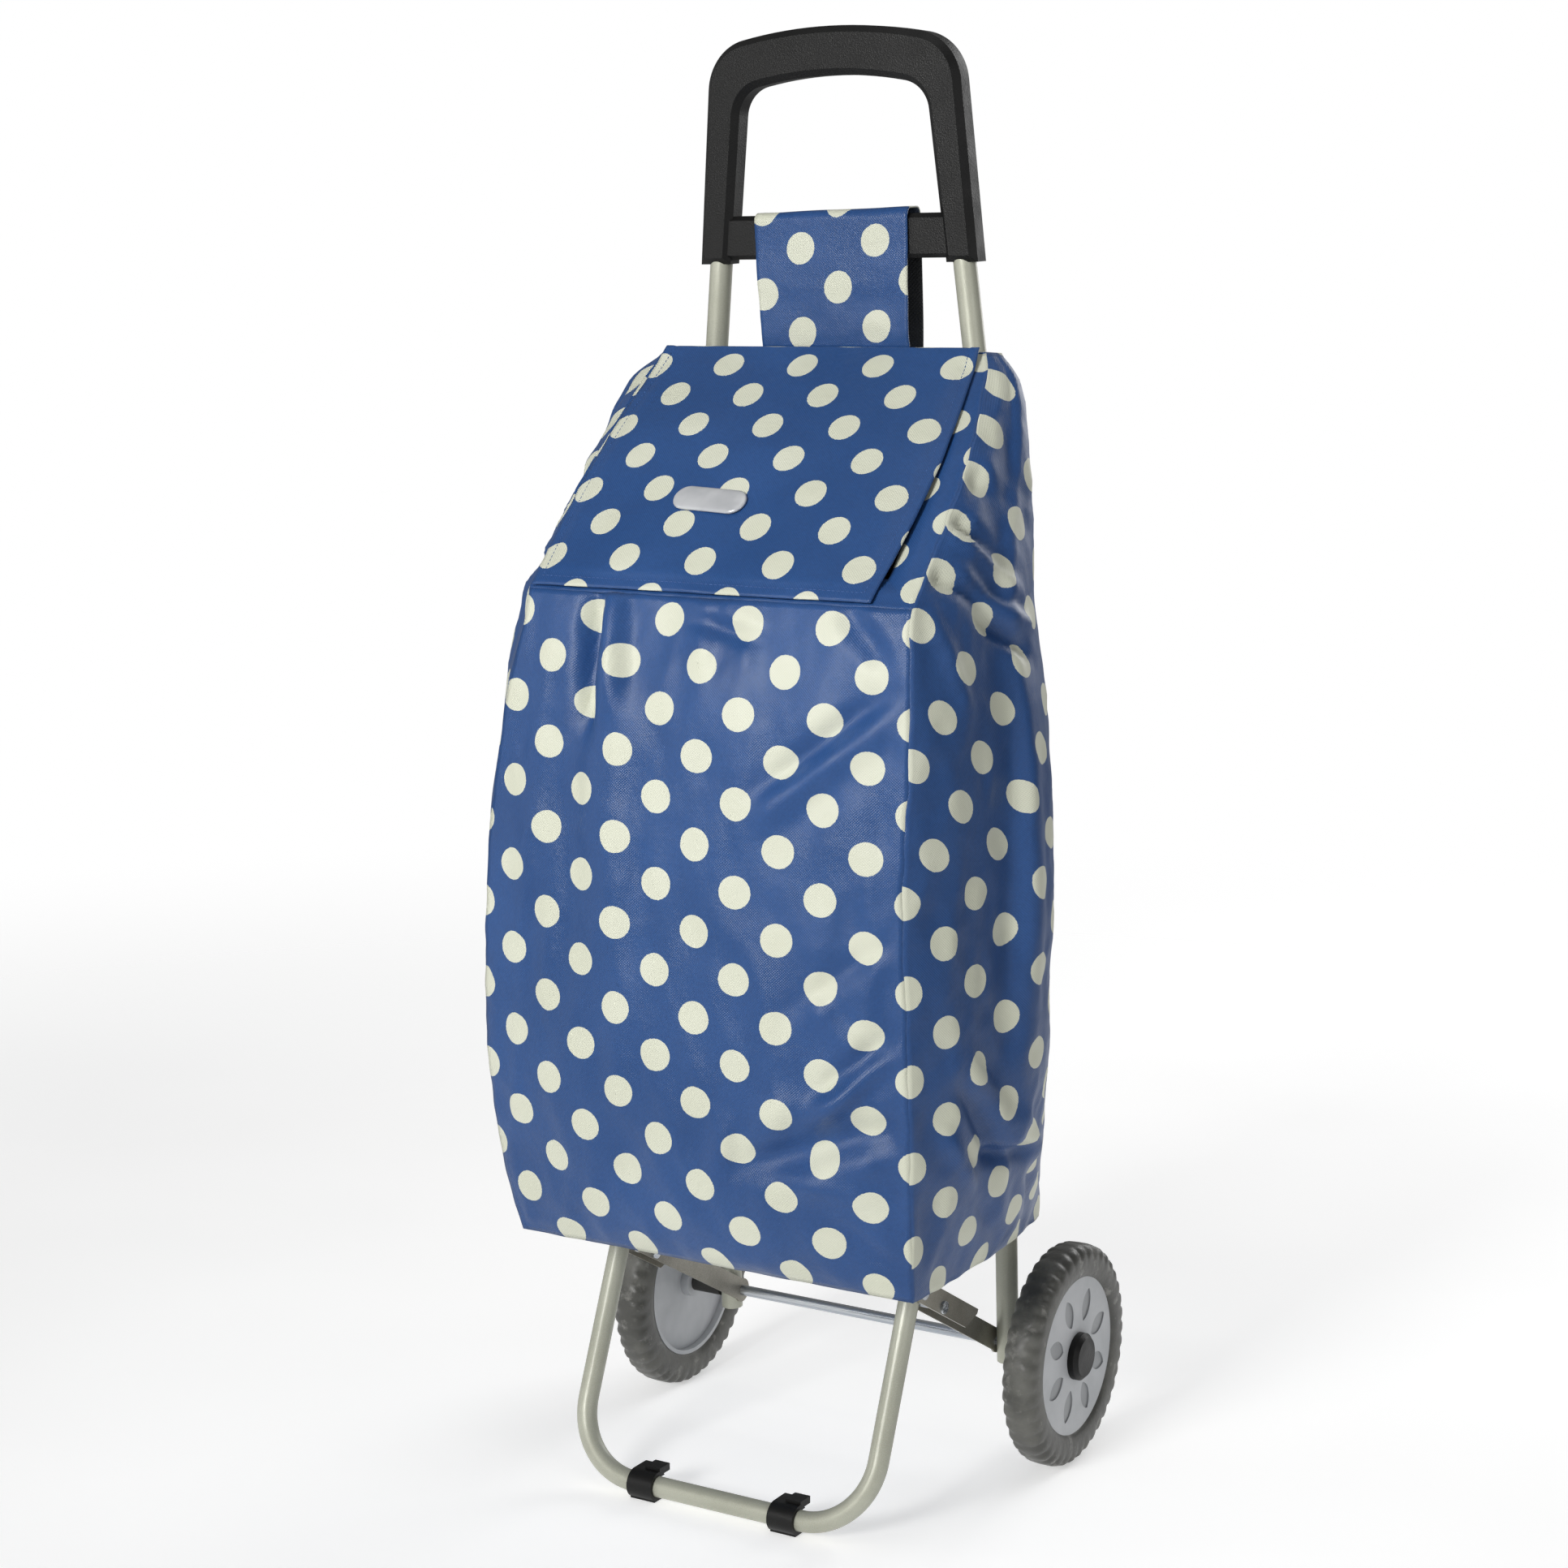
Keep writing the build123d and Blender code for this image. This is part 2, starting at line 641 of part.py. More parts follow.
def flap_panel():
    """Flap that covers the mouth; its top edge is round about the hinge line."""
    mid = FLAP_GAP + FLAP_THICKNESS / 2
    panel = slanted_plate(
        FLAP_HALF_BOTTOM, FLAP_HALF_TOP, FLAP_LOW, MOUTH_LENGTH, FLAP_GAP, FLAP_THICKNESS
    )
    hinge_y, hinge_z = mouth_point(MOUTH_LENGTH, mid)
    panel += rod(-FLAP_HALF_TOP, FLAP_HALF_TOP, FLAP_THICKNESS / 2, hinge_y, hinge_z)
    return panel


def flap_badge():
    """Blank oval badge, domed by its chamfered rim."""
    y, z = mouth_point(BADGE_ALONG, FLAP_GAP + FLAP_THICKNESS)
    up_y, up_z = mouth_point(0, 1)
    base_y, base_z = mouth_point(0, 0)
    plane = Plane(origin=(BADGE_X, y, z), x_dir=(1, 0, 0), z_dir=(0, up_y - base_y, up_z - base_z))
    pad = extrude(plane * Rot(0, 0, BADGE_TILT) * SlotOverall(BADGE_LENGTH, BADGE_WIDTH), 2.4)
    return chamfer(pad.faces().sort_by(Axis.Z)[-1].edges(), 0.9)


def mouth_hook_tape():
    return slanted_plate(30, 30, TAPE_ALONG - 8, TAPE_ALONG + 8, FLAP_GAP - 1.0, 1.0)


def mouth_loop_tape():
    return slanted_plate(30, 30, TAPE_ALONG - 8, TAPE_ALONG + 8, 0, 1.0)


STRAP_FOOT_S = 715.8
STRAP_CLEAR = 1.0


def strap_loop():
    """The folded strap over the crossbar, as one upside-down U."""
    half_in = CROSSBAR_DEPTH / 2 + STRAP_CLEAR
    half_out = half_in + STRAP_THICKNESS
    top_in = CROSSBAR_HIGH_S + STRAP_CLEAR
    top_out = top_in + STRAP_THICKNESS
    outer = block((-STRAP_HALF_WIDTH, -half_out, STRAP_FOOT_S), (STRAP_HALF_WIDTH, half_out, top_out))
    outer = fillet(outer.faces().sort_by(Axis.Z)[-1].edges().filter_by(Axis.X), 5)
    inner = block((-HUGE, -half_in, 0), (HUGE, half_in, top_in))
    inner = fillet(inner.faces().sort_by(Axis.Z)[-1].edges().filter_by(Axis.X), 3.5)
    return outer - inner


LINING_TOP_S = 795.0


def hanging_strap():
    rear = block((-HUGE, 0, 0), (HUGE, HUGE, LINING_TOP_S))
    return lean(strap_loop() - rear)


def strap_lining():
    rear = block((-HUGE, 0, 0), (HUGE, HUGE, LINING_TOP_S))
    return lean(strap_loop() & rear)


LOOP_HEIGHTS = (240.0, 545.0)
LOOP_HALF_HEIGHT = 12.5


def tube_loops():
    """Webbing loops on the bag's back that go round the rear tubes."""
    loops = []
    wall = 1.2
    reach = TUBE_RADIUS + 0.4
    for side in SIDES.values():
        for height_s in LOOP_HEIGHTS:
            low = height_s - LOOP_HALF_HEIGHT
            high = height_s + LOOP_HALF_HEIGHT
            x = side * TUBE_X
            band = block((x - reach - wall, -2 * TUBE_RADIUS, low), (x + reach + wall, reach + wall, high))
            band -= block((x - reach, -HUGE, low - 1), (x + reach, reach, high + 1))
            loops.append(lean(band) - bag_body(0))
    return Compound(loops)


# ---- writing ----------------------------------------------------------------------------
for name, side in SIDES.items():
    save(rear_tube(side), f"rear_tube_{name}")
    save(bracket(side), f"bracket_{name}")
    save(foot_clip(side), f"foot_clip_{name}")
    save(at_wheel(tyre(), side), f"tyre_{name}")
    save(at_wheel(hub(), side), f"hub_{name}")
    save(at_wheel(hub_plate(), side), f"hub_plate_{name}")
    save(at_wheel(hub_cap(), side), f"hub_cap_{name}")

save(cross_brace(), "cross_brace")
save(brace_rivets(), "brace_rivets")
save(axle(), "axle")
save(axle_clips(), "axle_clips")
save(wheel_spacers(), "wheel_spacers")
save(handle(), "handle")
save(handle_screws(), "handle_screws")

save(leg_tube(), "leg_tube")
save(riveted_pins(PIVOT_RADIUS, 5.5, (-BRACKET_LENGTH, 0)), "pivot_rivets")
save(riveted_pins(STOP_PIN_RADIUS, 4.5, STOP_PIN_AT), "stop_pins")

for node, panel in bag_panels().items():
    save(panel, node)
save(flap_panel(), "flap_panel")
save(flap_badge(), "flap_badge")
save(mouth_hook_tape(), "flap_hook_tape")
save(mouth_loop_tape(), "mouth_loop_tape")
save(hanging_strap(), "hanging_strap")
save(strap_lining(), "strap_lining")
save(tube_loops(), "tube_loops")
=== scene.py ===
"""Looks of a folding shopping trolley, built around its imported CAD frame.

Metres, in the shared frame: +Z is up, -Y is the bag's front and X runs across. Hard parts keep
their CAD meshes and get materials. The bag, flap, strap, webbing and tyres are new meshes.
"""
import math

import bmesh
import bpy
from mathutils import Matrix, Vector, noise


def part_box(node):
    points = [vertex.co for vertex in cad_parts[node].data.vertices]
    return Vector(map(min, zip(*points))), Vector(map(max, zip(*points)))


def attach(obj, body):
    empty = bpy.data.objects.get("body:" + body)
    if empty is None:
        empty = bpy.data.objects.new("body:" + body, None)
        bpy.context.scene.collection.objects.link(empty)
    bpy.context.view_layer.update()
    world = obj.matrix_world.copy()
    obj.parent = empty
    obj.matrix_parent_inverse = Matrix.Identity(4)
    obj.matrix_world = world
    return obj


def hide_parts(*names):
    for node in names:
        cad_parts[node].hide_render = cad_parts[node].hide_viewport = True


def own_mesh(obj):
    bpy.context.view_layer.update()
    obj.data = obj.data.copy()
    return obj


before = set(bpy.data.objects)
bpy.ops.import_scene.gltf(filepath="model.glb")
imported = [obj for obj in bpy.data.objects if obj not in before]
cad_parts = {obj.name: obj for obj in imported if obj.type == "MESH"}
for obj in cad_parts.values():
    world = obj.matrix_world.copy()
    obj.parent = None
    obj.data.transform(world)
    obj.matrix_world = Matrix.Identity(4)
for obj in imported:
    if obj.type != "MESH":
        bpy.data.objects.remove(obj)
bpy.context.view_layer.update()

# ---- places taken from the frame ----
axle_low, axle_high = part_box("axle")
AXLE_Y = (axle_low.y + axle_high.y) / 2
AXLE_Z = (axle_low.z + axle_high.z) / 2
LEAN = math.radians(3.23)        # the rear frame leans forward
SIDES = {"left": -1, "right": 1}

# ---- the bag's shape ----
# Half widths are at the front seams, at the fullest part of the gussets and at the back.
# Y values are from the axle. A tuck under the flap draws the left front seam in.
BAG_SECTIONS = [
    # Z, front half, side half, back half, front Y, back Y, left front half, left side half
    (0.184, 0.160, 0.161, 0.149, -0.226, -0.015, 0.150, 0.152),
    (0.235, 0.162, 0.182, 0.150, -0.232, -0.018, 0.162, 0.182),
    (0.320, 0.164, 0.198, 0.152, -0.241, -0.023, 0.168, 0.198),
    (0.450, 0.161, 0.203, 0.152, -0.245, -0.030, 0.162, 0.203),
    (0.560, 0.164, 0.198, 0.148, -0.243, -0.036, 0.146, 0.196),
    (0.637, 0.160, 0.188, 0.142, -0.235, -0.041, 0.131, 0.182),
    (0.715, 0.153, 0.172, 0.136, -0.153, -0.046, 0.137, 0.170),
    (0.770, 0.139, 0.152, 0.131, -0.095, -0.049, 0.133, 0.158),
    (0.793, 0.128, 0.132, 0.128, -0.071, -0.050, 0.128, 0.132),
]
FRONT_HALF, SIDE_HALF, BACK_HALF, FRONT_Y, BACK_Y, LEFT_FRONT_HALF, LEFT_SIDE_HALF = range(1, 8)
BAG_BOTTOM = BAG_SECTIONS[0][0]
BAG_TOP = BAG_SECTIONS[-1][0]
MOUTH_FRONT_Y = -0.235           # the mouth's low edge, from the axle
MOUTH_LOW = Vector((0, AXLE_Y + MOUTH_FRONT_Y, 0.637))
MOUTH_HIGH = Vector((0, AXLE_Y + BAG_SECTIONS[-1][FRONT_Y], BAG_TOP))
MOUTH_ALONG = (MOUTH_HIGH - MOUTH_LOW).normalized()
MOUTH_UP = Vector((0, -MOUTH_ALONG.z, MOUTH_ALONG.y))
MOUTH_LENGTH = (MOUTH_HIGH - MOUTH_LOW).length

# How far the front panel swells at its middle, by height.
FRONT_CREST = [
    (0.184, 0.000),
    (0.200, 0.012),
    (0.230, 0.020),
    (0.280, 0.022),
    (0.450, 0.016),
    (0.560, 0.012),
    (0.610, 0.007),
    (0.637, 0.003),
]
# The gusset's bulge across its depth, as a share of its fullest: it swells, flattens along
# an upright crease, swells again and turns back to the rear seam.
GUSSET_PROFILE = [
    (0.00, 0.00),
    (0.09, 0.27),
    (0.17, 0.47),
    (0.27, 0.58),
    (0.36, 0.68),
    (0.47, 0.95),
    (0.58, 1.00),
    (0.72, 0.82),
    (0.86, 0.46),
    (1.00, 0.00),
]

FABRIC = 0.0012                  # thickness of the coated cloth
SEAM_FADE = 0.012                # wrinkles die out this near a seam
SEAM_PULL = 0.0011               # how far a sewn seam wanders
DOT_RADIUS = 0.0111
DOT_EDGE = 0.0002                # softness of a dot's edge, each way
DOT_SPACING = (0.0592, 0.0582)   # across and up; a second lattice sits in the middle


def hermite(table, position, column=1):
    """A smooth curve through one column of a table whose first column ascends."""
    last = len(table) - 1
    if position <= table[0][0]:
        return table[0][column]
    if position >= table[last][0]:
        return table[last][column]
    index = 0
    while position > table[index + 1][0]:
        index += 1

    def slope(at):
        if at == 0 or at == last:
            return None
        left = (table[at][column] - table[at - 1][column]) / (table[at][0] - table[at - 1][0])
        right = (table[at + 1][column] - table[at][column]) / (table[at + 1][0] - table[at][0])
        return 0 if left * right <= 0 else 2 * left * right / (left + right)

    x0, x1 = table[index][0], table[index + 1][0]
    y0, y1 = table[index][column], table[index + 1][column]
    chord = (y1 - y0) / (x1 - x0)
    m0 = slope(index)
    m1 = slope(index + 1)
    m0 = 1.5 * chord - 0.5 * m1 if m0 is None else m0
    m1 = 1.5 * chord - 0.5 * m0 if m1 is None else m1
    t = (position - x0) / (x1 - x0)
    width = x1 - x0
    return (
        (2 * t**3 - 3 * t**2 + 1) * y0
        + (t**3 - 2 * t**2 + t) * width * m0
        + (3 * t**2 - 2 * t**3) * y1
        + (t**3 - t**2) * width * m1
    )


def smoothstep(low, high, value):
    t = min(1.0, max(0.0, (value - low) / (high - low)))
    return t * t * (3 - 2 * t)


def section(z, column):
    """One column of the bag's sections at a height. Above the mouth the front edge is straight."""
    if column == FRONT_Y and z > MOUTH_LOW.z:
        return MOUTH_FRONT_Y + (z - MOUTH_LOW.z) * MOUTH_ALONG.y / MOUTH_ALONG.z
    return hermite(BAG_SECTIONS, z, column)


def front_half(z, side):
    """Half width at one front seam."""
    return section(z, FRONT_HALF if side > 0 else LEFT_FRONT_HALF)


# ---- wrinkles ----
def ridge(point, start, end, width, height):
    """Height of one soft fold, a line between two points that fades at both ends."""
    du, dv = end[0] - start[0], end[1] - start[1]
    length = math.hypot(du, dv)
    along = ((point[0] - start[0]) * du + (point[1] - start[1]) * dv) / length
    across = ((point[0] - start[0]) * -dv + (point[1] - start[1]) * du) / length
    fade = smoothstep(-0.15 * length, 0.3 * length, along)
    fade *= smoothstep(1.15 * length, 0.7 * length, along)
    shape = across / width
    return height * fade * (1.1 * math.exp(-shape * shape) - 0.35 * math.exp(-((shape - 1.4) ** 2)))


def crumple(point, scale, seed):
    """Soft folded relief, about -1 to 1, from seeded noise."""
    here = Vector((point[0] / scale[0], point[1] / scale[1], seed))
    broad = noise.noise(here)
    folded = 1 - 2 * abs(noise.noise(here * 1.7 + Vector((3.1, 7.7, 1.3))))
    return 0.6 * broad + 0.4 * (folded - 0.6)


def seam_ripple(place):
    """The wavy pull of a sewn seam. It depends on the place alone, so both sides agree."""
    here = place * 62
    return SEAM_PULL * Vector((
        noise.noise(here + Vector((0, 0, 11))),
        noise.noise(here + Vector((0, 17, 0))),
        0.4 * noise.noise(here + Vector((23, 0, 0))),
    ))


def panel_ripple(place, fade):
    """The seam's pull on a panel, which keeps a little of it in its middle."""
    return seam_ripple(place) * (1 - 0.7 * fade)


# Folds of the front panel, as (X, Z) start, (X, Z) end, width and height.
FRONT_FOLDS = [
    ((-0.076, 0.645), (-0.074, 0.540), 0.0085, -0.0120),
    ((-0.058, 0.650), (-0.050, 0.560), 0.0080, 0.0060),
    ((-0.052, 0.610), (-0.046, 0.300), 0.0160, 0.0038),
    ((-0.088, 0.580), (-0.084, 0.380), 0.0130, -0.0034),
    ((-0.118, 0.600), (-0.122, 0.420), 0.0120, 0.0026),
    ((0.000, 0.625), (0.058, 0.612), 0.0060, -0.0040),
    ((0.012, 0.640), (0.012, 0.590), 0.0080, 0.0030),
    ((0.150, 0.585), (0.060, 0.515), 0.0080, -0.0052),
    ((0.150, 0.568), (0.050, 0.490), 0.0110, 0.0036),
    ((0.110, 0.640), (0.148, 0.600), 0.0080, -0.0040),
    ((0.030, 0.560), (-0.010, 0.430), 0.0120, -0.0022),
    ((0.155, 0.430), (0.085, 0.375), 0.0080, -0.0030),
    ((0.160, 0.372), (0.092, 0.312), 0.0070, -0.0036),
    ((0.152, 0.352), (0.098, 0.300), 0.0070, 0.0034),
    ((0.100, 0.385), (0.132, 0.352), 0.0060, 0.0022),
    ((0.162, 0.306), (0.040, 0.262), 0.0120, -0.0085),
    ((0.140, 0.325), (0.060, 0.305), 0.0100, 0.0036),
    ((0.080, 0.262), (0.150, 0.252), 0.0080, 0.0026),
    ((0.110, 0.236), (0.150, 0.206), 0.0070, -0.0030),
    ((0.040, 0.300), (0.020, 0.240), 0.0090, 0.0026),
    ((-0.020, 0.300), (-0.060, 0.222), 0.0120, -0.0020),
]
# Folds of the gussets, as (depth behind the front seam, Z). The left side gets a variation.
GUSSET_FOLDS = [
    ((0.020, 0.760), (0.110, 0.700), 0.0090, -0.0040),
    ((0.030, 0.715), (0.080, 0.672), 0.0060, -0.0052),
    ((0.045, 0.690), (0.100, 0.640), 0.0070, 0.0044),
    ((0.010, 0.668), (0.075, 0.628), 0.0060, -0.0050),
    ((0.050, 0.632), (0.105, 0.600), 0.0055, -0.0068),
    ((0.060, 0.640), (0.115, 0.618), 0.0060, 0.0042),
    ((0.012, 0.640), (0.040, 0.560), 0.0070, 0.0030),
    ((0.078, 0.600), (0.080, 0.350), 0.0080, -0.0040),
    ((0.098, 0.590), (0.100, 0.330), 0.0100, 0.0030),
    ((0.150, 0.600), (0.155, 0.330), 0.0120, -0.0030),
    ((0.030, 0.330), (0.085, 0.262), 0.0070, -0.0060),
    ((0.040, 0.345), (0.100, 0.275), 0.0070, 0.0040),
    ((0.020, 0.300), (0.060, 0.252), 0.0060, 0.0040),
    ((0.060, 0.272), (0.130, 0.262), 0.0065, -0.0055),
    ((0.090, 0.300), (0.150, 0.250), 0.0080, 0.0036),
    ((0.070, 0.240), (0.110, 0.200), 0.0070, -0.0034),
    ((0.130, 0.250), (0.175, 0.205), 0.0080, -0.0034),
]
BACK_FOLDS = [
    ((-0.100, 0.560), (0.020, 0.520), 0.0140, -0.0016),
    ((0.110, 0.420), (-0.040, 0.380), 0.0140, 0.0014),
    ((-0.060, 0.300), (0.070, 0.250), 0.0120, -0.0016),
]


def fold_sum(point, folds):
    return sum(ridge(point, *fold) for fold in folds)


def edge_fade(*distances):
    """0 on a seam, rising to 1 away from all of them."""
    fade = 1.0
    for distance in distances:
        fade *= smoothstep(0.0, SEAM_FADE, distance)
    return fade


# ---- mesh helpers ----
def add_object(name, data):
    """Puts a mesh, light or camera in the scene."""
    made = bpy.data.objects.new(name, data)
    bpy.context.scene.collection.objects.link(made)
    return made


def grid_piece(name, columns, rows, place, uv, closed=False):
    """A quad mesh from place(column share, row share), with a UV map in metres."""
    across = columns if closed else columns + 1
    points = []
    flat = []
    for row in range(rows + 1):
        for column in range(columns + 1):
            share = (column / columns, row / rows)
            flat.append(uv(*share))
            if column < across:
                points.append(place(*share))
    faces = []
    corners = []
    for row in range(rows):
        for column in range(columns):
            right = (column + 1) % across
            low, high = row * across, (row + 1) * across
            faces.append((low + column, low + right, high + right, high + column))
            flat_low, flat_high = row * (columns + 1), (row + 1) * (columns + 1)
            corners.extend((
                flat_low + column, flat_low + column + 1, flat_high + column + 1, flat_high + column
            ))
    mesh = bpy.data.meshes.new(name)
    mesh.from_pydata(points, [], faces)
    layer = mesh.uv_layers.new(name="UVMap")
    for loop, corner in zip(layer.data, corners):
        loop.uv = flat[corner]
    mesh.shade_smooth()
    mesh.update()
    return add_object(name, mesh)


def push(piece, move):
    """Moves each vertex by move(place, normal)."""
    mesh = piece.data
    normals = [vertex.normal.copy() for vertex in mesh.vertices]
    for vertex, normal in zip(mesh.vertices, normals):
        vertex.co += move(vertex.co, normal)
    mesh.update()


def apply_modifiers(piece):
    bpy.context.view_layer.update()
    graph = bpy.context.evaluated_depsgraph_get()
    made = bpy.data.meshes.new_from_object(piece.evaluated_get(graph))
    piece.modifiers.clear()
    piece.data = made


def thicken(piece, thickness, offset=-1.0, inside=False):
    """Gives a sheet its thickness. With inside, the back faces take the second material."""
    shell = piece.modifiers.new("Thickness", "SOLIDIFY")
    shell.thickness = thickness
    shell.offset = offset
    shell.use_quality_normals = True
    if inside:
        shell.material_offset = 1
    apply_modifiers(piece)
    piece.data.shade_smooth()


def finish_piece(piece, slot, *materials):
    for material in materials:
        piece.data.materials.append(material)


# ---- material helpers ----
def srgb(red, green, blue):
    """A linear colour from display values of 0 to 255."""
    values = []
    for value in (red, green, blue):
        share = value / 255
        values.append(share / 12.92 if share <= 0.04045 else ((share + 0.055) / 1.055) ** 2.4)
    return (*values, 1.0)


def set_input(tree, socket, value):
    if isinstance(value, bpy.types.NodeSocket):
        tree.links.new(value, socket)
    else:
        socket.default_value = value


def node(tree, kind, inputs=None, **settings):
    """Adds a shader node. Inputs are sockets or constants, by name or index."""
    made = tree.nodes.new("ShaderNode" + kind)
    for key, value in settings.items():
        setattr(made, key, value)
    for key, value in (inputs or {}).items():
        set_input(tree, made.inputs[key], value)
    return made


def math_node(tree, operation, first, second=0.0):
    return node(tree, "Math", {0: first, 1: second}, operation=operation).outputs[0]


def times(tree, first, second):
    return math_node(tree, "MULTIPLY", first, second)


def vector_math(tree, operation, *inputs):
    """A vector node's result. Its inputs are sockets or constants."""
    made = node(tree, "VectorMath", dict(enumerate(inputs)), operation=operation)
    return made.outputs["Value" if operation == "LENGTH" else "Vector"]


def mix_colour(tree, share, first, second, blend="MIX"):
    made = node(tree, "Mix", data_type="RGBA", blend_type=blend)
    sockets = [s for s in made.inputs if s.enabled]
    for socket, value in zip(sockets, (share, first, second)):
        set_input(tree, socket, value)
    return next(s for s in made.outputs if s.enabled)


def map_range(tree, value, low, high, to_low=0.0, to_high=1.0):
    made = node(
        tree,
        "MapRange",
        {"Value": value, "From Min": low, "From Max": high, "To Min": to_low, "To Max": to_high},
        interpolation_type="SMOOTHSTEP",
    )
    return made.outputs["Result"]


def object_noise(tree, scale, detail=4.0, roughness=0.55, stretch=None):
    where = node(tree, "TexCoord").outputs["Object"]
    if stretch:
        where = node(tree, "Mapping", {"Vector": where, "Scale": stretch}).outputs["Vector"]
    made = node(
        tree, "TexNoise", {"Vector": where, "Scale": scale, "Detail": detail, "Roughness": roughness}
    )
    return made.outputs["Fac"]


def patches(tree, scale, detail, low=0.3, high=0.7):
    """Soft-edged noise patches, 0 to 1."""
    return map_range(tree, object_noise(tree, scale, detail), low, high)


def bump(tree, height, distance, strength=1.0, normal=None):
    made = node(tree, "Bump", {"Height": height, "Distance": distance, "Strength": strength})
    if normal is not None:
        tree.links.new(normal, made.inputs["Normal"])
    return made.outputs["Normal"]


def new_material(name, **constants):
    """A node material whose Principled sockets start at the given constants, and its tree."""
    material = bpy.data.materials.new(name)
    material.use_nodes = True
    tree = material.node_tree
    for key, value in constants.items():
        tree.nodes["Principled BSDF"].inputs[key.replace("_", " ")].default_value = value
    return material, tree


def wired(material, colour, roughness, normal):
    """Drives a material's colour, roughness and normal, and hands it back."""
    tree = material.node_tree
    inputs = tree.nodes["Principled BSDF"].inputs
    for name, value in (("Base Color", colour), ("Roughness", roughness), ("Normal", normal)):
        set_input(tree, inputs[name], value)
    return material


def weave(tree, pitch):
    """Plain weave height from the UV map in metres: over and under threads."""
    uv = node(tree, "UVMap", uv_map="UVMap").outputs["UV"]
    parts = node(tree, "SeparateXYZ", {0: vector_math(tree, "MULTIPLY", uv, (math.pi / pitch,) * 3)})
    warp = math_node(tree, "SINE", parts.outputs[0])
    weft = math_node(tree, "SINE", parts.outputs[1])
    return times(tree, warp, weft)


def dot_mask(tree, spacing):
    """1 inside the printed dots of two interleaved lattices, 0 outside, from the UV map."""
    uv = node(tree, "UVMap", uv_map="UVMap").outputs["UV"]
    wobble = node(tree, "TexNoise", {"Vector": uv, "Scale": 900.0, "Detail": 2.0})
    centred = vector_math(tree, "SUBTRACT", wobble.outputs["Color"], (0.5, 0.5, 0.5))
    nudged = vector_math(tree, "MULTIPLY_ADD", centred, (0.0008, 0.0008, 0.0), uv)
    cells = vector_math(tree, "DIVIDE", nudged, (*spacing, 1.0))
    nearest = None
    for shift in (0.5, 0.0):
        moved = vector_math(tree, "ADD", cells, (shift, shift, 0.0))
        share = vector_math(tree, "FRACTION", moved)
        middle = vector_math(tree, "SUBTRACT", share, (0.5, 0.5, 0.0))
        length = vector_math(tree, "LENGTH", vector_math(tree, "MULTIPLY", middle, (*spacing, 0.0)))
        nearest = length if nearest is None else math_node(tree, "MINIMUM", nearest, length)
    return map_range(tree, nearest, DOT_RADIUS + DOT_EDGE, DOT_RADIUS - DOT_EDGE)


# ---- materials ----
def dotted_fabric():
    """Coated polyester, deep blue with printed cream dots and painted shade in the weave's hollows.
    """
    material, tree = new_material(
        "dotted_fabric",
        Coat_Weight=0.06,
        Coat_Roughness=0.3,
        Sheen_Weight=0.04,
        Sheen_Roughness=0.4,
        Specular_IOR_Level=0.36,
    )
    patch = patches(tree, 9.0, 3.0)
    fine = patches(tree, 420.0, 2.0)
    blue = mix_colour(tree, patch, srgb(29, 67, 119), srgb(36, 75, 130))
    blue = mix_colour(tree, times(tree, fine, 0.25), blue, srgb(24, 54, 100))
    cream = mix_colour(tree, patch, srgb(196, 198, 180), srgb(204, 206, 190))
    mask = dot_mask(tree, DOT_SPACING)
    threads = weave(tree, 0.0009)
    colour = mix_colour(tree, mask, blue, cream)
    # Painted shade: the weave's low points are darkened by up to a tenth towards deep navy.
    weave_hollow_shade = map_range(tree, threads, 0.2, -0.9, 0.0, 0.10)
    colour = mix_colour(tree, weave_hollow_shade, colour, srgb(20, 34, 60))
    rough = map_range(tree, patch, 0.0, 1.0, 0.36, 0.46)
    rough = math_node(tree, "ADD", rough, times(tree, mask, 0.08))
    soft = object_noise(tree, 38.0, 5.0, 0.6)
    relief = bump(tree, soft, 0.0022, 0.55)
    relief = bump(tree, threads, 0.00012, 0.6, relief)
    relief = bump(tree, mask, 0.00008, 0.5, relief)
    return wired(material, colour, rough, relief)


def lining_fabric():
    """The plain coated inner face of the cloth."""
    material, tree = new_material("lining_fabric", Specular_IOR_Level=0.35)
    patch = patches(tree, 14.0, 4.0)
    colour = mix_colour(tree, patch, srgb(86, 98, 122), srgb(102, 114, 136))
    rough = 0.62
    relief = bump(tree, object_noise(tree, 60.0, 4.0), 0.0015, 0.5)
    relief = bump(tree, weave(tree, 0.0011), 0.00015, 0.6, relief)
    return wired(material, colour, rough, relief)


def webbing():
    """Black woven webbing with ribs across its length."""
    material, tree = new_material("black_webbing", Sheen_Weight=0.2, Sheen_Roughness=0.5)
    threads = weave(tree, 0.0014)
    patch = patches(tree, 40.0, 3.0)
    colour = mix_colour(tree, patch, srgb(38, 39, 40), srgb(52, 53, 54))
    lit = map_range(tree, threads, -0.6, 0.9, 0.0, 0.35)
    colour = mix_colour(tree, lit, colour, srgb(70, 71, 72))
    rough = 0.68
    relief = bump(tree, threads, 0.0003, 0.8)
    return wired(material, colour, rough, relief)


def thread():
    """Sewing thread, a little darker than the cloth."""
    material, tree = new_material("sewing_thread")
    patch = patches(tree, 600.0, 2.0)
    colour = mix_colour(tree, patch, srgb(38, 66, 116), srgb(62, 94, 148))
    relief = bump(tree, object_noise(tree, 2200.0, 1.0), 0.0001, 0.6)
    return wired(material, colour, 0.6, relief)


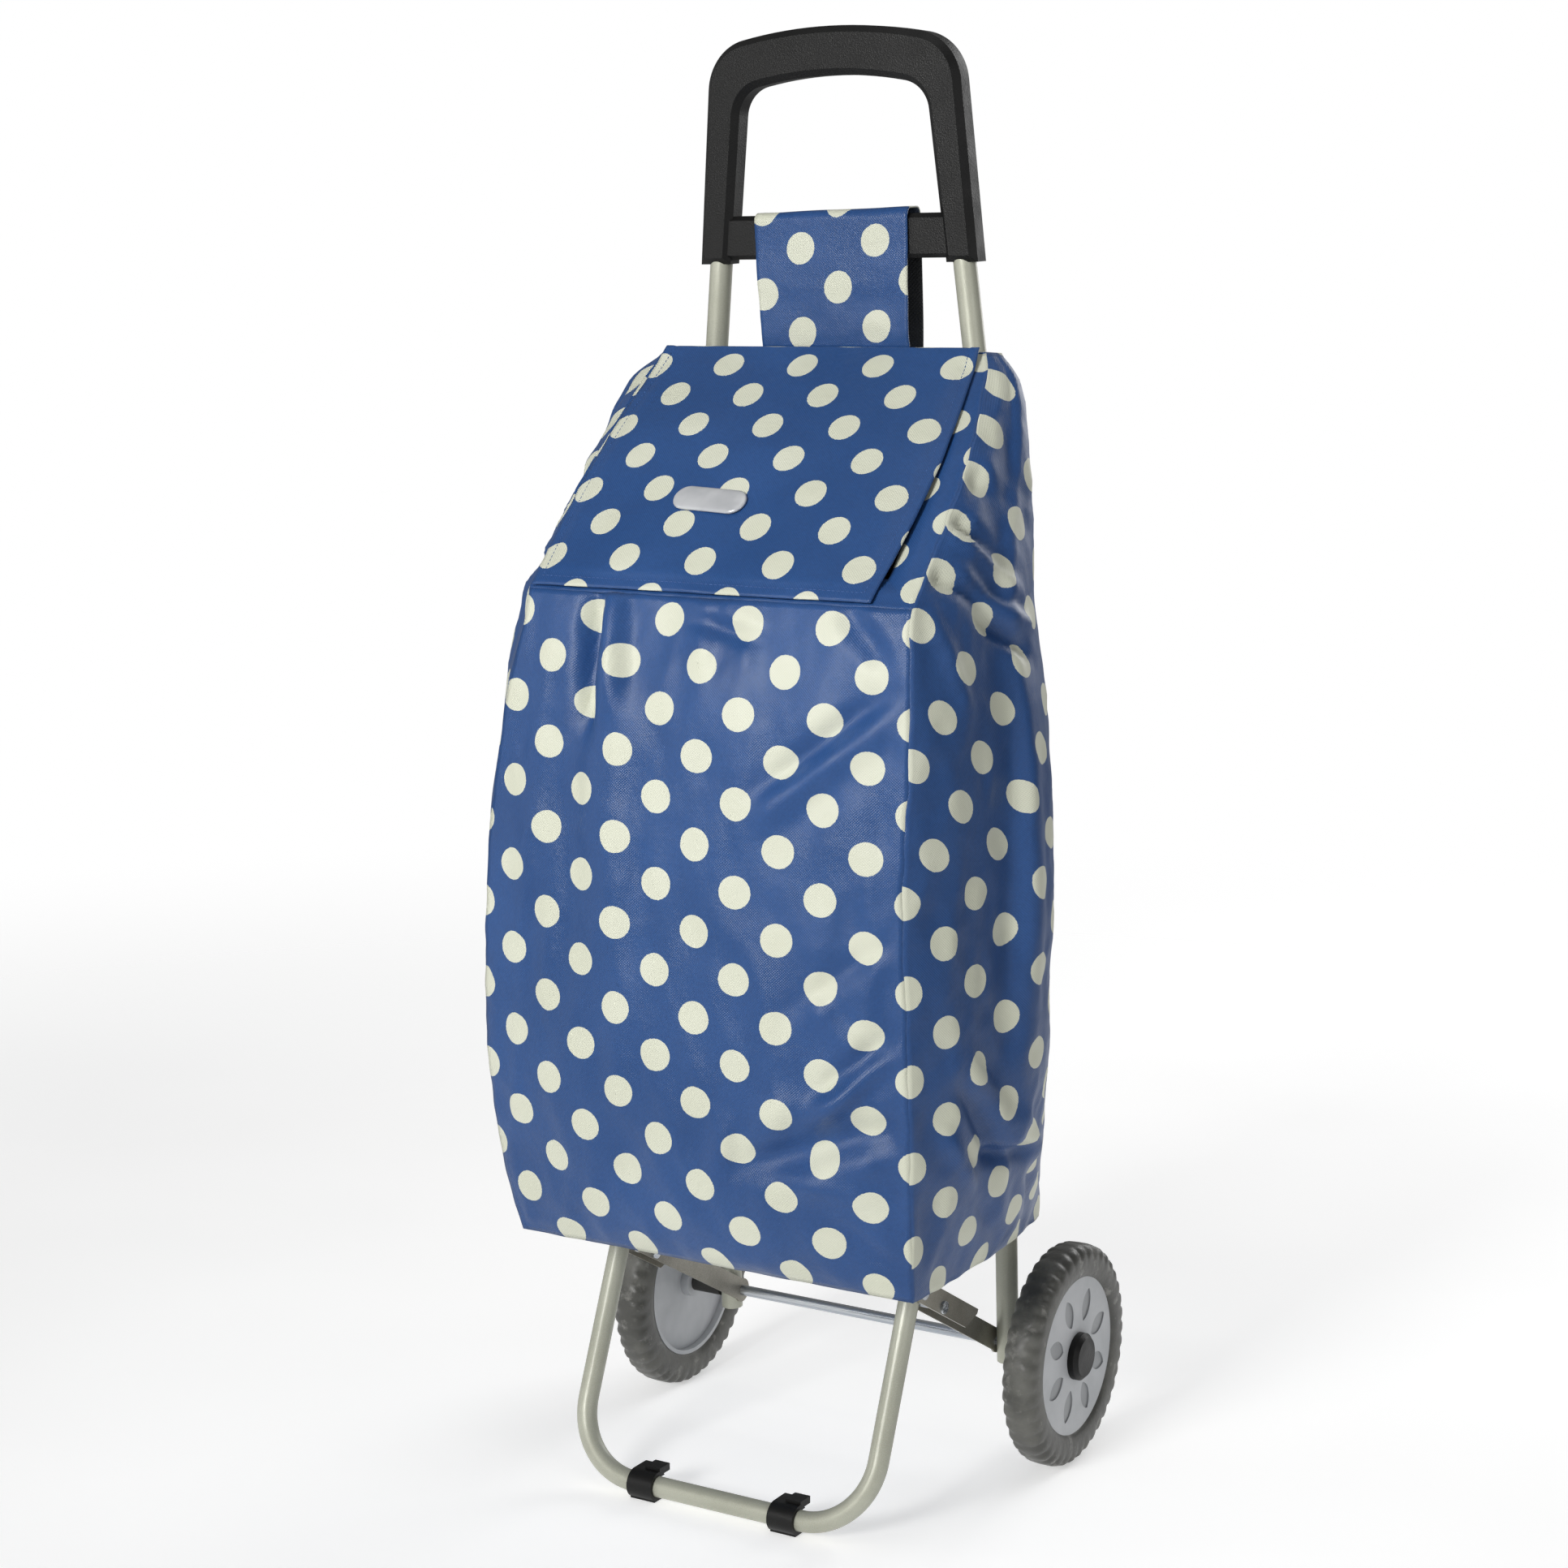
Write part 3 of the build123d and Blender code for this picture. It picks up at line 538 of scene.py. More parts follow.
def painted_steel(name, light, dark, metallic, roughness):
    """Satin metallic paint with a fine flake, worn a little darker in patches."""
    material, tree = new_material(
        name, Metallic=metallic, Coat_Weight=0.25, Coat_Roughness=0.22
    )
    patch = patches(tree, 16.0, 5.0, 0.35, 0.7)
    flake = patches(tree, 1800.0, 1.0, 0.35, 0.65)
    colour = mix_colour(tree, patch, light, dark)
    colour = mix_colour(tree, times(tree, flake, 0.14), colour, srgb(214, 214, 202))
    rough = map_range(tree, patch, 0.0, 1.0, roughness, roughness + 0.1)
    relief = bump(tree, object_noise(tree, 320.0, 3.0), 0.0002, 0.25)
    return wired(material, colour, rough, relief)


def zinc():
    """Zinc plate with faint drawn lines along the shaft."""
    material, tree = new_material("zinc", Metallic=1.0)
    lines = map_range(tree, object_noise(tree, 90.0, 3.0, stretch=(0.05, 6.0, 6.0)), 0.35, 0.65)
    colour = mix_colour(tree, lines, srgb(168, 174, 182), srgb(204, 208, 212))
    rough = map_range(tree, lines, 0.0, 1.0, 0.22, 0.36)
    relief = bump(tree, lines, 0.0001, 0.3)
    return wired(material, colour, rough, relief)


def moulded_plastic(name, light, dark, roughness, grain_scale, grain_depth):
    """Moulded plastic: fine grain, slight blotches and uneven gloss."""
    material, tree = new_material(name, Specular_IOR_Level=0.26)
    patch = patches(tree, 22.0, 4.0, 0.35, 0.7)
    colour = mix_colour(tree, patch, light, dark)
    grain = node(
        tree,
        "TexVoronoi",
        {"Vector": node(tree, "TexCoord").outputs["Object"], "Scale": grain_scale},
        feature="SMOOTH_F1",
    ).outputs["Distance"]
    gloss = object_noise(tree, 55.0, 3.0)
    rough = map_range(tree, gloss, 0.3, 0.7, roughness - 0.05, roughness + 0.06)
    relief = bump(tree, grain, grain_depth, 0.5)
    return wired(material, colour, rough, relief)


HUB_FACE_X = 0.1735              # outer face of each wheel's disc; its recesses are 1 mm deep


def hub_plastic():
    """Grey plastic, with painted shade darkening the leaf-shaped recesses of the wheel's face."""
    material, tree = new_material("hub_plastic", Specular_IOR_Level=0.35)
    patch = patches(tree, 22.0, 4.0, 0.35, 0.7)
    colour = mix_colour(tree, patch, srgb(182, 184, 187), srgb(168, 171, 174))
    # Painted shade: the recess floors, 0.6 to 1.1 mm inside the face, are darkened halfway to a dark
    # grey.
    where = node(tree, "TexCoord").outputs["Object"]
    across = math_node(tree, "ABSOLUTE", node(tree, "SeparateXYZ", {0: where}).outputs[0])
    below = map_range(tree, across, HUB_FACE_X - 0.0003, HUB_FACE_X - 0.0006)
    above = map_range(tree, across, HUB_FACE_X - 0.0014, HUB_FACE_X - 0.0011)
    deep = times(tree, below, above)
    colour = mix_colour(tree, times(tree, deep, 0.5), colour, srgb(104, 106, 108))
    rough = map_range(tree, object_noise(tree, 55.0, 3.0), 0.3, 0.7, 0.36, 0.46)
    relief = bump(tree, object_noise(tree, 900.0, 2.0), 0.0001, 0.5)
    return wired(material, colour, rough, relief)


def tyre_foam():
    """Foamed plastic with smoky, cloudy patches and a slightly glossy skin."""
    material, tree = new_material(
        "tyre_foam", Specular_IOR_Level=0.5, Coat_Weight=0.15, Coat_Roughness=0.35
    )
    cloud = map_range(tree, object_noise(tree, 26.0, 6.0, 0.62), 0.42, 0.66)
    fleck = map_range(tree, object_noise(tree, 85.0, 4.0, 0.6), 0.56, 0.72)
    colour = mix_colour(tree, cloud, srgb(62, 62, 58), srgb(90, 90, 85))
    colour = mix_colour(tree, times(tree, fleck, 0.55), colour, srgb(140, 139, 134))
    rough = map_range(tree, cloud, 0.0, 1.0, 0.42, 0.6)
    relief = bump(tree, object_noise(tree, 110.0, 5.0), 0.0014, 0.5)
    return wired(material, colour, rough, relief)


def badge_gel():
    """Clear domed gel over a pale silver backing, left blank."""
    material, tree = new_material(
        "badge_gel", Coat_Weight=0.9, Coat_Roughness=0.06, Metallic=0.15
    )
    patch = patches(tree, 60.0, 2.0)
    colour = mix_colour(tree, patch, srgb(172, 174, 178), srgb(188, 190, 193))
    rough = map_range(tree, patch, 0.0, 1.0, 0.28, 0.34)
    relief = bump(tree, object_noise(tree, 500.0, 1.0), 0.0001, 0.2)
    return wired(material, colour, rough, relief)


DOTTED = dotted_fabric()
LINING = lining_fabric()
WEBBING = webbing()
THREAD = thread()
TUBE_PAINT = painted_steel("tube_paint", srgb(168, 169, 154), srgb(155, 156, 141), 0.25, 0.46)
BRACKET_STEEL = painted_steel("bracket_steel", srgb(138, 134, 122), srgb(112, 108, 98), 0.6, 0.42)
ZINC = zinc()
SPACER = moulded_plastic("spacer_plastic", srgb(44, 44, 43), srgb(54, 54, 52), 0.5, 900.0, 0.0002)
HANDLE = moulded_plastic("handle_plastic", srgb(12, 12, 12), srgb(18, 18, 18), 0.46, 1100.0, 0.0003)
BLACK = moulded_plastic("black_plastic", srgb(12, 12, 12), srgb(18, 18, 17), 0.42, 1300.0, 0.0002)
HUB = hub_plastic()
FOAM = tyre_foam()
GEL = badge_gel()

CAD_FINISHES = [
    (TUBE_PAINT, ["rear_tube_left", "rear_tube_right", "leg_tube"]),
    (BRACKET_STEEL, ["cross_brace", "bracket_left", "bracket_right"]),
    (ZINC, ["brace_rivets", "axle", "axle_clips", "handle_screws", "pivot_rivets", "stop_pins"]),
    (SPACER, ["wheel_spacers"]),
    (HANDLE, ["handle"]),
    (BLACK, ["foot_clip_left", "foot_clip_right", "hub_cap_left", "hub_cap_right"]),
    (HUB, ["hub_left", "hub_right", "hub_plate_left", "hub_plate_right"]),
]
for finish, cad_names in CAD_FINISHES:
    for cad_name in cad_names:
        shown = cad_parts[cad_name]
        shown.data.materials.clear()
        shown.data.materials.append(finish)


# ---- bag panels ----
FRONT_DOT = (0.0154, 0.479)      # X and Z of one printed dot
GUSSET_DOT = (0.0610, 0.452)     # depth behind the front seam and Z of one printed dot
GUSSET_SKEW = 0.31               # the gusset's print runs askew above that dot
BACK_DOT = (0.0, 0.45)
PANEL_STEP = 0.0036              # mesh size on the bag
FRONT_WIDTH = 0.310              # rough panel sizes, which set how many steps each gets
GUSSET_DEPTH = 0.207
BACK_WIDTH = 0.3
BACK_COARSER = 1.5
FRONT_STRETCH = (0.975, 1.012)   # the front's print, across and up
HEM_SHIFT = 0.024                # the border's print, across from the front's
TOP_SHIFT = 0.005
ARC_STEPS = 24                   # chords that measure the way round a gusset


def front_point(across, height):
    """The front panel without wrinkles. Across runs from -1 to 1."""
    left, right = -front_half(height, -1), front_half(height, 1)
    x = left + (right - left) * (across + 1) / 2
    crest = hermite(FRONT_CREST, height) * (1 - abs(across) ** 2.3)
    return Vector((x, AXLE_Y + section(height, FRONT_Y) - crest, height))


def front_panel():
    top = MOUTH_LOW.z
    columns = round(FRONT_WIDTH / PANEL_STEP)
    rows = round((top - BAG_BOTTOM) / PANEL_STEP)

    def place(s, t):
        return front_point(2 * s - 1, BAG_BOTTOM + (top - BAG_BOTTOM) * t)

    def uv(s, t):
        x, _, z = place(s, t)
        return (
            (x - FRONT_DOT[0]) * FRONT_STRETCH[0],
            (z - FRONT_DOT[1]) * FRONT_STRETCH[1],
        )

    panel = grid_piece("bag_front", columns, rows, place, uv)

    def wrinkle(here, normal):
        to_side = front_half(here.z, here.x) - abs(here.x)
        fade = edge_fade(to_side, here.z - BAG_BOTTOM)
        fade *= smoothstep(-0.008, 0.004, top - here.z)
        flat = (here.x, here.z)
        relief = fold_sum(flat, FRONT_FOLDS)
        relief += 0.0052 * crumple(flat, (0.060, 0.150), 4.0)
        relief += 0.0020 * crumple(flat, (0.028, 0.055), 9.0)
        return normal * relief * fade + panel_ripple(here, fade)

    push(panel, wrinkle)
    return panel


def gusset_point(side, depth, height):
    """A gusset without wrinkles. Depth runs from 0 at the front seam to 1 at the back."""
    front_y, back_y = section(height, FRONT_Y), section(height, BACK_Y)
    front_x, back_x = front_half(height, side), section(height, BACK_HALF)
    base = front_x + (back_x - front_x) * depth
    fullest = section(height, SIDE_HALF if side > 0 else LEFT_SIDE_HALF)
    bulge = fullest - (front_x + back_x) / 2
    x = base + max(0.0, bulge) * hermite(GUSSET_PROFILE, depth)
    return Vector((side * x, AXLE_Y + front_y + (back_y - front_y) * depth, height))


def gusset(name, side, seed):
    columns = round(GUSSET_DEPTH * 1.1 / PANEL_STEP)
    rows = round((BAG_TOP - BAG_BOTTOM) / PANEL_STEP)
    folds = GUSSET_FOLDS
    if side < 0:
        folds = [
            ((a, z + 0.02), (b, w - 0.015), wide, 0.85 * tall)
            for (a, z), (b, w), wide, tall in folds
        ]

    def place(s, t):
        return gusset_point(side, s, BAG_BOTTOM + (BAG_TOP - BAG_BOTTOM) * t)

    arcs = {}

    def uv(s, t):
        if t not in arcs:
            steps = [place(k / ARC_STEPS, t) for k in range(ARC_STEPS + 1)]
            lengths = [0.0]
            for start, end in zip(steps, steps[1:]):
                lengths.append(lengths[-1] + (end - start).length)
            slant = max(0.0, place(0, t).z - MOUTH_LOW.z) * MOUTH_ALONG.y / MOUTH_ALONG.z
            arcs[t] = (lengths, slant)
        lengths, slant = arcs[t]
        spot = s * ARC_STEPS
        index = min(ARC_STEPS - 1, int(spot))
        arc = lengths[index] + (lengths[index + 1] - lengths[index]) * (spot - index) + slant
        z = place(s, t).z
        skew = GUSSET_SKEW * max(0.0, min(z, MOUTH_LOW.z) - GUSSET_DOT[1])
        return (side * (arc - GUSSET_DOT[0] + skew), z - GUSSET_DOT[1])

    panel = grid_piece(name, columns, rows, place, uv)

    def wrinkle(here, normal):
        front_y = AXLE_Y + section(here.z, FRONT_Y)
        back_y = AXLE_Y + section(here.z, BACK_Y)
        to_front = here.y - front_y
        fade = edge_fade(
            to_front, back_y - here.y, here.z - BAG_BOTTOM, BAG_TOP - here.z
        )
        outward = normal if normal.x * side > 0 else -normal
        flat = (here.y - (AXLE_Y + MOUTH_FRONT_Y), here.z)
        relief = fold_sum(flat, folds)
        relief += 0.0036 * crumple(flat, (0.045, 0.120), seed)
        relief += 0.0018 * crumple(flat, (0.026, 0.040), seed + 5)
        return outward * relief * fade + panel_ripple(here, fade)

    push(panel, wrinkle)
    if side < 0:
        panel.data.flip_normals()
    return panel


def back_panel():
    columns = round(BACK_WIDTH / PANEL_STEP / BACK_COARSER)
    rows = round((BAG_TOP - BAG_BOTTOM) / PANEL_STEP / BACK_COARSER)

    def place(s, t):
        z = BAG_BOTTOM + (BAG_TOP - BAG_BOTTOM) * t
        return Vector(((1 - 2 * s) * section(z, BACK_HALF), AXLE_Y + section(z, BACK_Y), z))

    def uv(s, t):
        here = place(s, t)
        return (here.x - BACK_DOT[0], here.z - BACK_DOT[1])

    panel = grid_piece("bag_back", columns, rows, place, uv)

    def wrinkle(here, normal):
        to_side = section(here.z, BACK_HALF) - abs(here.x)
        fade = edge_fade(to_side, here.z - BAG_BOTTOM, BAG_TOP - here.z)
        flat = (here.x, here.z)
        relief = fold_sum(flat, BACK_FOLDS) + 0.0022 * crumple(flat, (0.060, 0.110), 21.0)
        inward = -0.0035 * fade
        return Vector((0, relief * fade + inward, 0)) + panel_ripple(here, fade)

    push(panel, wrinkle)
    return panel


def base_panel():
    """The floor of the bag, sagging a little between its seams."""
    def place(s, t):
        right, left = gusset_point(1, t, BAG_BOTTOM), gusset_point(-1, t, BAG_BOTTOM)
        here = right.lerp(left, s)
        dome = (1 - (1 - 2 * s) ** 4) * math.sin(math.pi * t)
        sag = 0.0050 * dome + 0.002 * dome * crumple(here.xy, (0.05, 0.05), 31.0)
        return here + seam_ripple(here) - Vector((0, 0, sag))

    def uv(s, t):
        here = place(s, t)
        return (here.x - FRONT_DOT[0], here.y)

    return grid_piece("bag_base", 70, 48, place, uv)


def top_panel():
    """The narrow strip between the flap's hinge and the back, folding over at its edges."""
    def place(s, t):
        z = BAG_TOP
        front, back = AXLE_Y + section(z, FRONT_Y), AXLE_Y + section(z, BACK_Y)
        half = section(z, FRONT_HALF)
        x = half * (2 * s - 1)
        lift = 0.0016 * math.sin(math.pi * t) * (1 - (2 * s - 1) ** 6)
        y = front + (back - front) * t
        return Vector((x, y, z + lift)) + seam_ripple(Vector((x, y, z)))

    def uv(s, t):
        here = place(s, t)
        return (here.x + TOP_SHIFT, here.y - AXLE_Y)

    return grid_piece("bag_top", 90, 8, place, uv)


HEM_WIDTH = 0.026
HEM_THICKNESS = 0.0010
HEM_DROOP = 0.0022               # its inner edge hangs a little into the bag


def mouth_hem():
    """The turned-in border round the mouth: along the sides and across the low edge."""
    def edge(along, side):
        return side * front_half(MOUTH_LOW.z + MOUTH_ALONG.z * along, side)

    low_share = 0.42
    side_share = (1 - low_share) / 2

    def place(s, t):
        """Goes down the left side, across the low edge and up the right side."""
        width = HEM_WIDTH * t
        if s <= side_share or s >= 1 - side_share:
            side = -1 if s <= side_share else 1
            share = s / side_share if side < 0 else (1 - s) / side_share
            along = MOUTH_LENGTH + (width - MOUTH_LENGTH) * share
            x = edge(along, side) - side * width
        else:
            along = width
            left, right = edge(along, -1) + width, edge(along, 1) - width
            x = left + (right - left) * (s - side_share) / low_share
        droop = -HEM_DROOP * t * t - 0.0006 * math.sin(9 * t)
        ripple = 0.0007 * noise.noise(Vector((x * 45, along * 45, 3.0))) * t
        point = MOUTH_LOW + MOUTH_ALONG * along + MOUTH_UP * (droop + ripple)
        point.x = x
        return point + seam_ripple(point) * (1 - t)

    def uv(s, t):
        here = place(s, t)
        along = (here - MOUTH_LOW).dot(MOUTH_ALONG)
        return (here.x - FRONT_DOT[0] - HEM_SHIFT, along + MOUTH_LOW.z - FRONT_DOT[1])

    return grid_piece("mouth_border", 300, 8, place, uv)


# ---- flap ----
FLAP_LOW_RIGHT = 0.131
FLAP_LOW_LEFT = 0.129
FLAP_HALF_HIGH = 0.124
FLAP_LIFT = 0.0044               # the flap's top face above the mouth
FLAP_START = 0.002               # its low edge, up from the mouth's low edge
FLAP_THICKNESS = 0.0010
FLAP_BELLY = 0.0070              # each side edge curves out
FLAP_PUFF = 0.0045               # the middle stands proud of the mouth
FLAP_DROOP = 0.0028              # its rim turns down to the border
FLAP_HEM = 0.007
FLAP_DOT = (-0.0045, 0.2077)     # X and way up the flap of one printed dot
FLAP_STRETCH = 0.962             # the flap's print, up


def flap_half(along, side):
    """From the middle to one side edge of the flap."""
    share = (along - FLAP_START) / (MOUTH_LENGTH - FLAP_START)
    low = FLAP_LOW_RIGHT if side > 0 else FLAP_LOW_LEFT
    return low + (FLAP_HALF_HIGH - low) * share + FLAP_BELLY * math.sin(math.pi * share)


def flap_x(across, along):
    left, right = -flap_half(along, -1), flap_half(along, 1)
    return left + (right - left) * across


def flap_place(x, along):
    """A point on the flap's top face, with its hem's step, small waves and drooping rim."""
    half = flap_half(along, x)
    share = (along - FLAP_START) / (MOUTH_LENGTH - FLAP_START)
    rim = min(half - abs(x), along - FLAP_START)
    hem = 0.0005 * smoothstep(FLAP_HEM + 0.0012, FLAP_HEM - 0.0004, rim)
    seam = -0.0005 * math.exp(-(((rim - FLAP_HEM) / 0.0011) ** 2))
    wave = 0.0013 * crumple((x, along), (0.075, 0.075), 41.0)
    wave += 0.0005 * crumple((x, along), (0.030, 0.018), 47.0) * smoothstep(0.03, 0.0, rim)
    wave += FLAP_PUFF * math.sin(math.pi * share) * (1 - 0.95 * (x / half) ** 4)
    wave -= FLAP_DROOP * smoothstep(0.016, 0.0, rim)
    high = smoothstep(0.0, 0.02, MOUTH_LENGTH - along)
    place = MOUTH_LOW + MOUTH_ALONG * along + MOUTH_UP * (FLAP_LIFT + hem + seam + wave * high)
    place.x = x
    return place


HINGE_RADIUS = 0.0011


def flap_sheet():
    columns = 96
    rows = 86
    turn_rows = 6

    def place(s, t):
        row = t * (rows + turn_rows)
        along = FLAP_START + (MOUTH_LENGTH - FLAP_START) * min(1.0, row / rows)
        here = flap_place(flap_x(s, along), along)
        if row > rows:
            angle = (row - rows) / turn_rows * math.radians(95)
            here += MOUTH_ALONG * HINGE_RADIUS * math.sin(angle)
            here -= MOUTH_UP * HINGE_RADIUS * (1 - math.cos(angle))
        return here

    def uv(s, t):
        along = FLAP_START + (MOUTH_LENGTH - FLAP_START) * t * (rows + turn_rows) / rows
        x = flap_x(s, min(along, MOUTH_LENGTH))
        return (x - FLAP_DOT[0], (along - FLAP_DOT[1]) * FLAP_STRETCH)

    return grid_piece("flap_sheet", columns, rows + turn_rows, place, uv)


def stitch_row(name, path, pitch=0.0034, length=0.0024, radius=0.00032):
    """Separate stitches along a list of (place, up) pairs, each a small rounded bead of thread."""
    points = []
    faces = []
    walked = 0.0
    due = pitch
    around = 6
    bead = ((0.0, 0.25), (0.12, 0.85), (0.5, 1.0), (0.88, 0.85), (1.0, 0.25))
    for (start, up), (end, _) in zip(path, path[1:]):
        step = end - start
        span = step.length
        if span < 1e-9:
            continue
        ahead = step / span
        across = ahead.cross(up).normalized()
        while walked + span > due:
            centre = start + ahead * (due - walked)
            first = len(points)
            for share, width in bead:
                spot = centre + ahead * (share - 0.5) * length
                for k in range(around):
                    angle = 2 * math.pi * k / around
                    points.append(
                        spot + (across * math.cos(angle) + up * math.sin(angle)) * radius * width
                    )
            for ring in range(len(bead) - 1):
                for k in range(around):
                    a = first + ring * around + k
                    b = first + ring * around + (k + 1) % around
                    faces.append((a, b, b + around, a + around))
            faces.append(tuple(first + k for k in reversed(range(around))))
            faces.append(tuple(first + (len(bead) - 1) * around + k for k in range(around)))
            due += pitch
        walked += span
    mesh = bpy.data.meshes.new(name)
    mesh.from_pydata(points, [], faces)
    mesh.shade_smooth()
    return add_object(name, mesh)


def flap_stitches():
    """The hem's row of stitches down the left side, across the low edge and up the right."""
    steps = 80
    high, low = MOUTH_LENGTH - 0.004, FLAP_START + FLAP_HEM
    corners = [
        (lambda along: -flap_half(along, -1) + FLAP_HEM, high, low),
        (None, low, low),
        (lambda along: flap_half(along, 1) - FLAP_HEM, low, high),
    ]
    path = []
    for edge, start, end in corners:
        for index in range(steps + 1):
            along = start + (end - start) * index / steps
            if edge:
                x = edge(along)
            else:
                left, right = -flap_half(low, -1) + FLAP_HEM, flap_half(low, 1) - FLAP_HEM
                x = left + (right - left) * index / steps
            path.append((flap_place(x, along) + MOUTH_UP * 0.0001, MOUTH_UP))
    return stitch_row("flap_stitching", path)


def badge():
    """Blank oval gel badge with a rounded dome."""
    low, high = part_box("flap_badge")
    centre_x = (low.x + high.x) / 2
    middle = Vector((centre_x, (low.y + high.y) / 2, (low.z + high.z) / 2))
    along = (middle - MOUTH_LOW).dot(MOUTH_ALONG)
    half_length, half_width, thick = 0.0285, 0.01025, 0.0026
    turn = math.radians(-4)
    around = 72
    lift = (flap_place(centre_x, along) - MOUTH_LOW).dot(MOUTH_UP) + 0.0003

    def outline(share, inset):
        angle = 2 * math.pi * share
        straight = half_length - half_width
        radius = half_width - inset
        u = radius * math.cos(angle) + math.copysign(straight, math.cos(angle))
        v = radius * math.sin(angle)
        return u, v

    rings = [(0.0000, 0.0), (0.0000, 0.0009), (0.0003, 0.0014), (0.0009, 0.0019),
             (0.0021, 0.0023), (0.0042, 0.0025), (0.0066, thick), (0.0086, thick)]

    def place(s, t):
        inset, height = rings[round(t * (len(rings) - 1))]
        u, v = outline(s, inset)
        x = centre_x + u * math.cos(turn) - v * math.sin(turn)
        shift = u * math.sin(turn) + v * math.cos(turn)
        here = MOUTH_LOW + MOUTH_ALONG * (along + shift) + MOUTH_UP * (lift + height)
        here.x = x
        return here

    def uv(s, t):
        return (s * 0.1, t * 0.01)

    piece = grid_piece("badge_dome", around, len(rings) - 1, place, uv, closed=True)
    top = range(around * (len(rings) - 1), around * len(rings))
    add_faces(piece, [tuple(top), tuple(reversed(range(around)))])
    return piece


def add_faces(piece, faces):
    """Adds polygons to a mesh, keeping what it has."""
    made = bmesh.new()
    made.from_mesh(piece.data)
    made.verts.ensure_lookup_table()
    for face in faces:
        made.faces.new([made.verts[index] for index in face]).smooth = True
    bmesh.ops.recalc_face_normals(made, faces=made.faces)
    made.to_mesh(piece.data)
    made.free()


# ---- hook-and-loop tapes ----
TAPE_HALF = 0.030
TAPE_ALONG = (0.0045, 0.0205)
TAPE_THICKNESS = 0.0008


def tape_sheet(name, above):
    """A strip of tape across the mouth. above(x, along) is its height over the mouth's plane."""
    def place(s, t):
        x = TAPE_HALF * (2 * s - 1)
        along = TAPE_ALONG[0] + (TAPE_ALONG[1] - TAPE_ALONG[0]) * t
        here = MOUTH_LOW + MOUTH_ALONG * along + MOUTH_UP * above(x, along)
        here.x = x
        return here

    def uv(s, t):
        return (2 * TAPE_HALF * s, (TAPE_ALONG[1] - TAPE_ALONG[0]) * t)

    return grid_piece(name, 40, 12, place, uv)


def under_flap(x, along):
    return (flap_place(x, along) - MOUTH_LOW).dot(MOUTH_UP) - FLAP_THICKNESS - 0.0001


def on_border(x, along):
    return -HEM_DROOP * (along / HEM_WIDTH) ** 2 + 0.0009


# ---- strap ----
def leaning(x, y, height):
    """A point given in the leaning rear frame, with height measured from the axle."""
    return Vector((
        x,
        AXLE_Y + y * math.cos(LEAN) - height * math.sin(LEAN),
        AXLE_Z + y * math.sin(LEAN) + height * math.cos(LEAN),
    ))


STRAP_HALF = 0.0605              # at its top; it narrows a little to its foot
STRAP_TAPER = 0.0020
STRAP_DRIFT = -0.0020            # its top sits a little to the left
STRAP_FOOT = 0.7160
STRAP_TOP = 0.80975
STRAP_REACH = 0.00975            # front and rear layers from the frame's plane
STRAP_CORNER = 0.0052
LINING_TOP = 0.7955
STRAP_THICKNESS = 0.0012
STRAP_DOT = (0.0040, 0.7585)     # X and height of one printed dot
STRAP_SKEW = 0.08                # the strap's print runs askew
FRONT_STEPS = 24                 # mesh steps down the front layer
CORNER_STEPS = 8


def strap_profile():
    """Points (y, height) of the fold over the crossbar, from the front foot to the rear join."""
    corner_low = STRAP_TOP - STRAP_CORNER
    points = []
    for index in range(FRONT_STEPS + 1):
        height = STRAP_FOOT + (corner_low - STRAP_FOOT) * index / FRONT_STEPS
        points.append((-STRAP_REACH, height))
    for index in range(1, CORNER_STEPS + 1):
        angle = math.pi / 2 * index / CORNER_STEPS
        points.append((
            -STRAP_REACH + STRAP_CORNER * (1 - math.cos(angle)),
            STRAP_TOP - STRAP_CORNER * (1 - math.sin(angle)),
        ))
    for index in range(1, 5):
        across = 2 * (STRAP_REACH - STRAP_CORNER) * index / 4
        points.append((-STRAP_REACH + STRAP_CORNER + across, STRAP_TOP))
    for index in range(1, CORNER_STEPS + 1):
        angle = math.pi / 2 * index / CORNER_STEPS
        points.append((
            STRAP_REACH - STRAP_CORNER * (1 - math.sin(angle)),
            STRAP_TOP - STRAP_CORNER * (1 - math.cos(angle)),
        ))
    for index in range(1, 4):
        points.append((STRAP_REACH, corner_low - (corner_low - LINING_TOP) * index / 3))
    return points


def path_lengths(points):
    lengths = [0.0]
    for start, end in zip(points, points[1:]):
        lengths.append(lengths[-1] + math.hypot(end[0] - start[0], end[1] - start[1]))
    return lengths


def strap_x(across, height):
    """X on the strap at a height above the axle."""
    share = smoothstep(STRAP_FOOT, STRAP_TOP, height)
    half = STRAP_HALF - STRAP_TAPER * (1 - share)
    return half * (2 * across - 1) + STRAP_DRIFT * share


